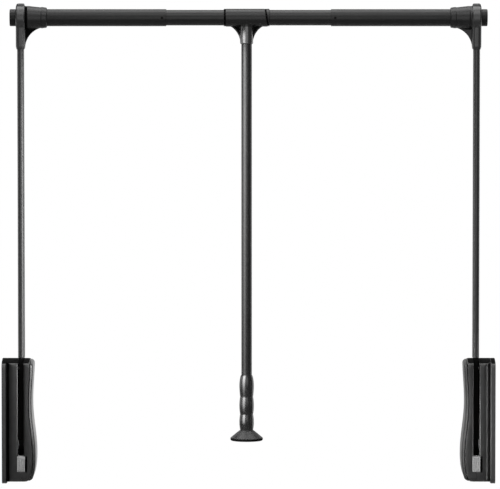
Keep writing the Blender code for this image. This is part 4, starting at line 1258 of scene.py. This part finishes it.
def seen_rays(tree):
    """One for rays from the eye, gloss and glass, and zero for the light that falls on things."""
    rays = add(tree, "ShaderNodeLightPath")
    seen = rays.outputs["Is Camera Ray"]
    for kind in ("Is Glossy Ray", "Is Transmission Ray"):
        either = add(tree, "ShaderNodeMath", operation="MAXIMUM")
        tree.links.new(seen, either.inputs[0])
        tree.links.new(rays.outputs[kind], either.inputs[1])
        seen = either.outputs["Value"]
    return seen


def fade_out(tree, front, start, end):
    """Let a stage sheet show its front only, and dissolve it between two distances from its middle."""
    distance = add(tree, "ShaderNodeVectorMath", operation="LENGTH")
    tree.links.new(object_space(tree), distance.inputs[0])
    fade = add(tree, "ShaderNodeMapRange", interpolation_type="SMOOTHSTEP")
    fade.inputs["From Min"].default_value = start
    fade.inputs["From Max"].default_value = end
    tree.links.new(distance.outputs["Value"], fade.inputs["Value"])
    hidden = add(tree, "ShaderNodeMath", operation="MAXIMUM")
    tree.links.new(add(tree, "ShaderNodeNewGeometry").outputs["Backfacing"], hidden.inputs[0])
    tree.links.new(fade.outputs["Result"], hidden.inputs[1])
    sheet = add(tree, "ShaderNodeMixShader")
    tree.links.new(hidden.outputs["Value"], sheet.inputs[0])
    tree.links.new(front, sheet.inputs[1])
    tree.links.new(add(tree, "ShaderNodeBsdfTransparent").outputs["BSDF"], sheet.inputs[2])
    tree.links.new(sheet.outputs["Shader"], tree.nodes["Material Output"].inputs["Surface"])


def stage_sheet(name, radius, grey):
    """Round sheet in matt, faintly uneven grey, facing up."""
    bm = bmesh.new()
    bmesh.ops.create_circle(bm, cap_ends=True, segments=FINE, radius=radius)
    sheet = solid(bm, name)
    material, tree, shader = shader_of(name, Roughness=SHEET_ROUGH, Specular_IOR_Level=SHEET_GLOSS)
    blotches = noise(tree, object_space(tree), *SHEET_MOTTLE)
    mottled_grey(tree, shader, blotches, grey - SHEET_UNEVEN, grey + SHEET_UNEVEN)
    dress(sheet, material)
    return sheet, tree, shader


def build_floor():
    """Grey floor below the object."""
    floor, tree, shader = stage_sheet("floor", FLOOR_END, FLOOR_GREY)
    floor.location = (CENTRE.x, CENTRE.y, cad_low.z - FLOOR_DROP)
    fade_out(tree, shader.outputs["BSDF"], FLOOR_FADE, FLOOR_END)


def build_backdrop():
    """Upright white card behind the object, white to the eye and only pale to the light."""
    card, tree, shader = stage_sheet("backdrop", BACKDROP_END, BACKDROP_GREY)
    card.location = (CENTRE.x, BACKDROP_BEHIND, CENTRE.z - BACKDROP_DROP)
    card.rotation_euler.x = math.pi / 2
    white = add(tree, "ShaderNodeEmission")
    front = add(tree, "ShaderNodeMixShader")
    tree.links.new(seen_rays(tree), front.inputs[0])
    tree.links.new(shader.outputs["BSDF"], front.inputs[1])
    tree.links.new(white.outputs["Emission"], front.inputs[2])
    fade_out(tree, front.outputs["Shader"], BACKDROP_FADE, BACKDROP_END)


def build_world():
    """Plain level of fill light from all round."""
    world = bpy.data.worlds.new("studio")
    bpy.context.scene.world = world
    world.use_nodes = True
    background = world.node_tree.nodes["Background"]
    background.inputs["Color"].default_value = (1, 1, 1, 1)
    background.inputs["Strength"].default_value = AMBIENT


def aim(thing, target):
    direction = Vector(target) - thing.location
    thing.rotation_euler = direction.to_track_quat("-Z", "Y").to_euler()


def softbox(name, place, size, radiance, target=CENTRE, spread=180):
    """Rectangular area lamp that faces a target, with the spread of its beam in degrees."""
    lamp = bpy.data.lights.new(name, "AREA")
    lamp.shape = "RECTANGLE"
    lamp.size, lamp.size_y = size
    lamp.energy = radiance * math.pi * size[0] * size[1]
    lamp.spread = math.radians(spread)
    item = link_object(name, lamp)
    item.location = place
    item.visible_camera = False
    aim(item, target)


def build_camera():
    """Camera at the photograph's distance, pitch and framing."""
    camera = bpy.data.cameras.new("camera")
    camera.sensor_width = SENSOR
    camera.lens = FOCAL_PIXELS * SENSOR / IMAGE_WIDTH
    camera.clip_end = VIEW_FAR
    metres_per_pixel = VIEW_DISTANCE / FOCAL_PIXELS
    share = (IMAGE_HEIGHT / 2 - RAIL_PIXEL_Y) / (SWING_PIXEL_Y - RAIL_PIXEL_Y)
    shift = (IMAGE_WIDTH / 2 - MIDDLE_PIXEL_X) * metres_per_pixel
    target = Vector((CENTRE.x + shift, 0, RAIL_Z * (1 - share)))
    item = link_object("camera", camera)
    item.location = target + VIEW_DISTANCE * Vector((0, -math.cos(VIEW_PITCH), math.sin(VIEW_PITCH)))
    aim(item, target)
    bpy.context.scene.camera = item


dress_frame()
build_floor()
build_backdrop()
build_world()
for row in LAMPS:
    softbox(*row)
build_camera()
bpy.context.scene.view_settings.view_transform = "Standard"
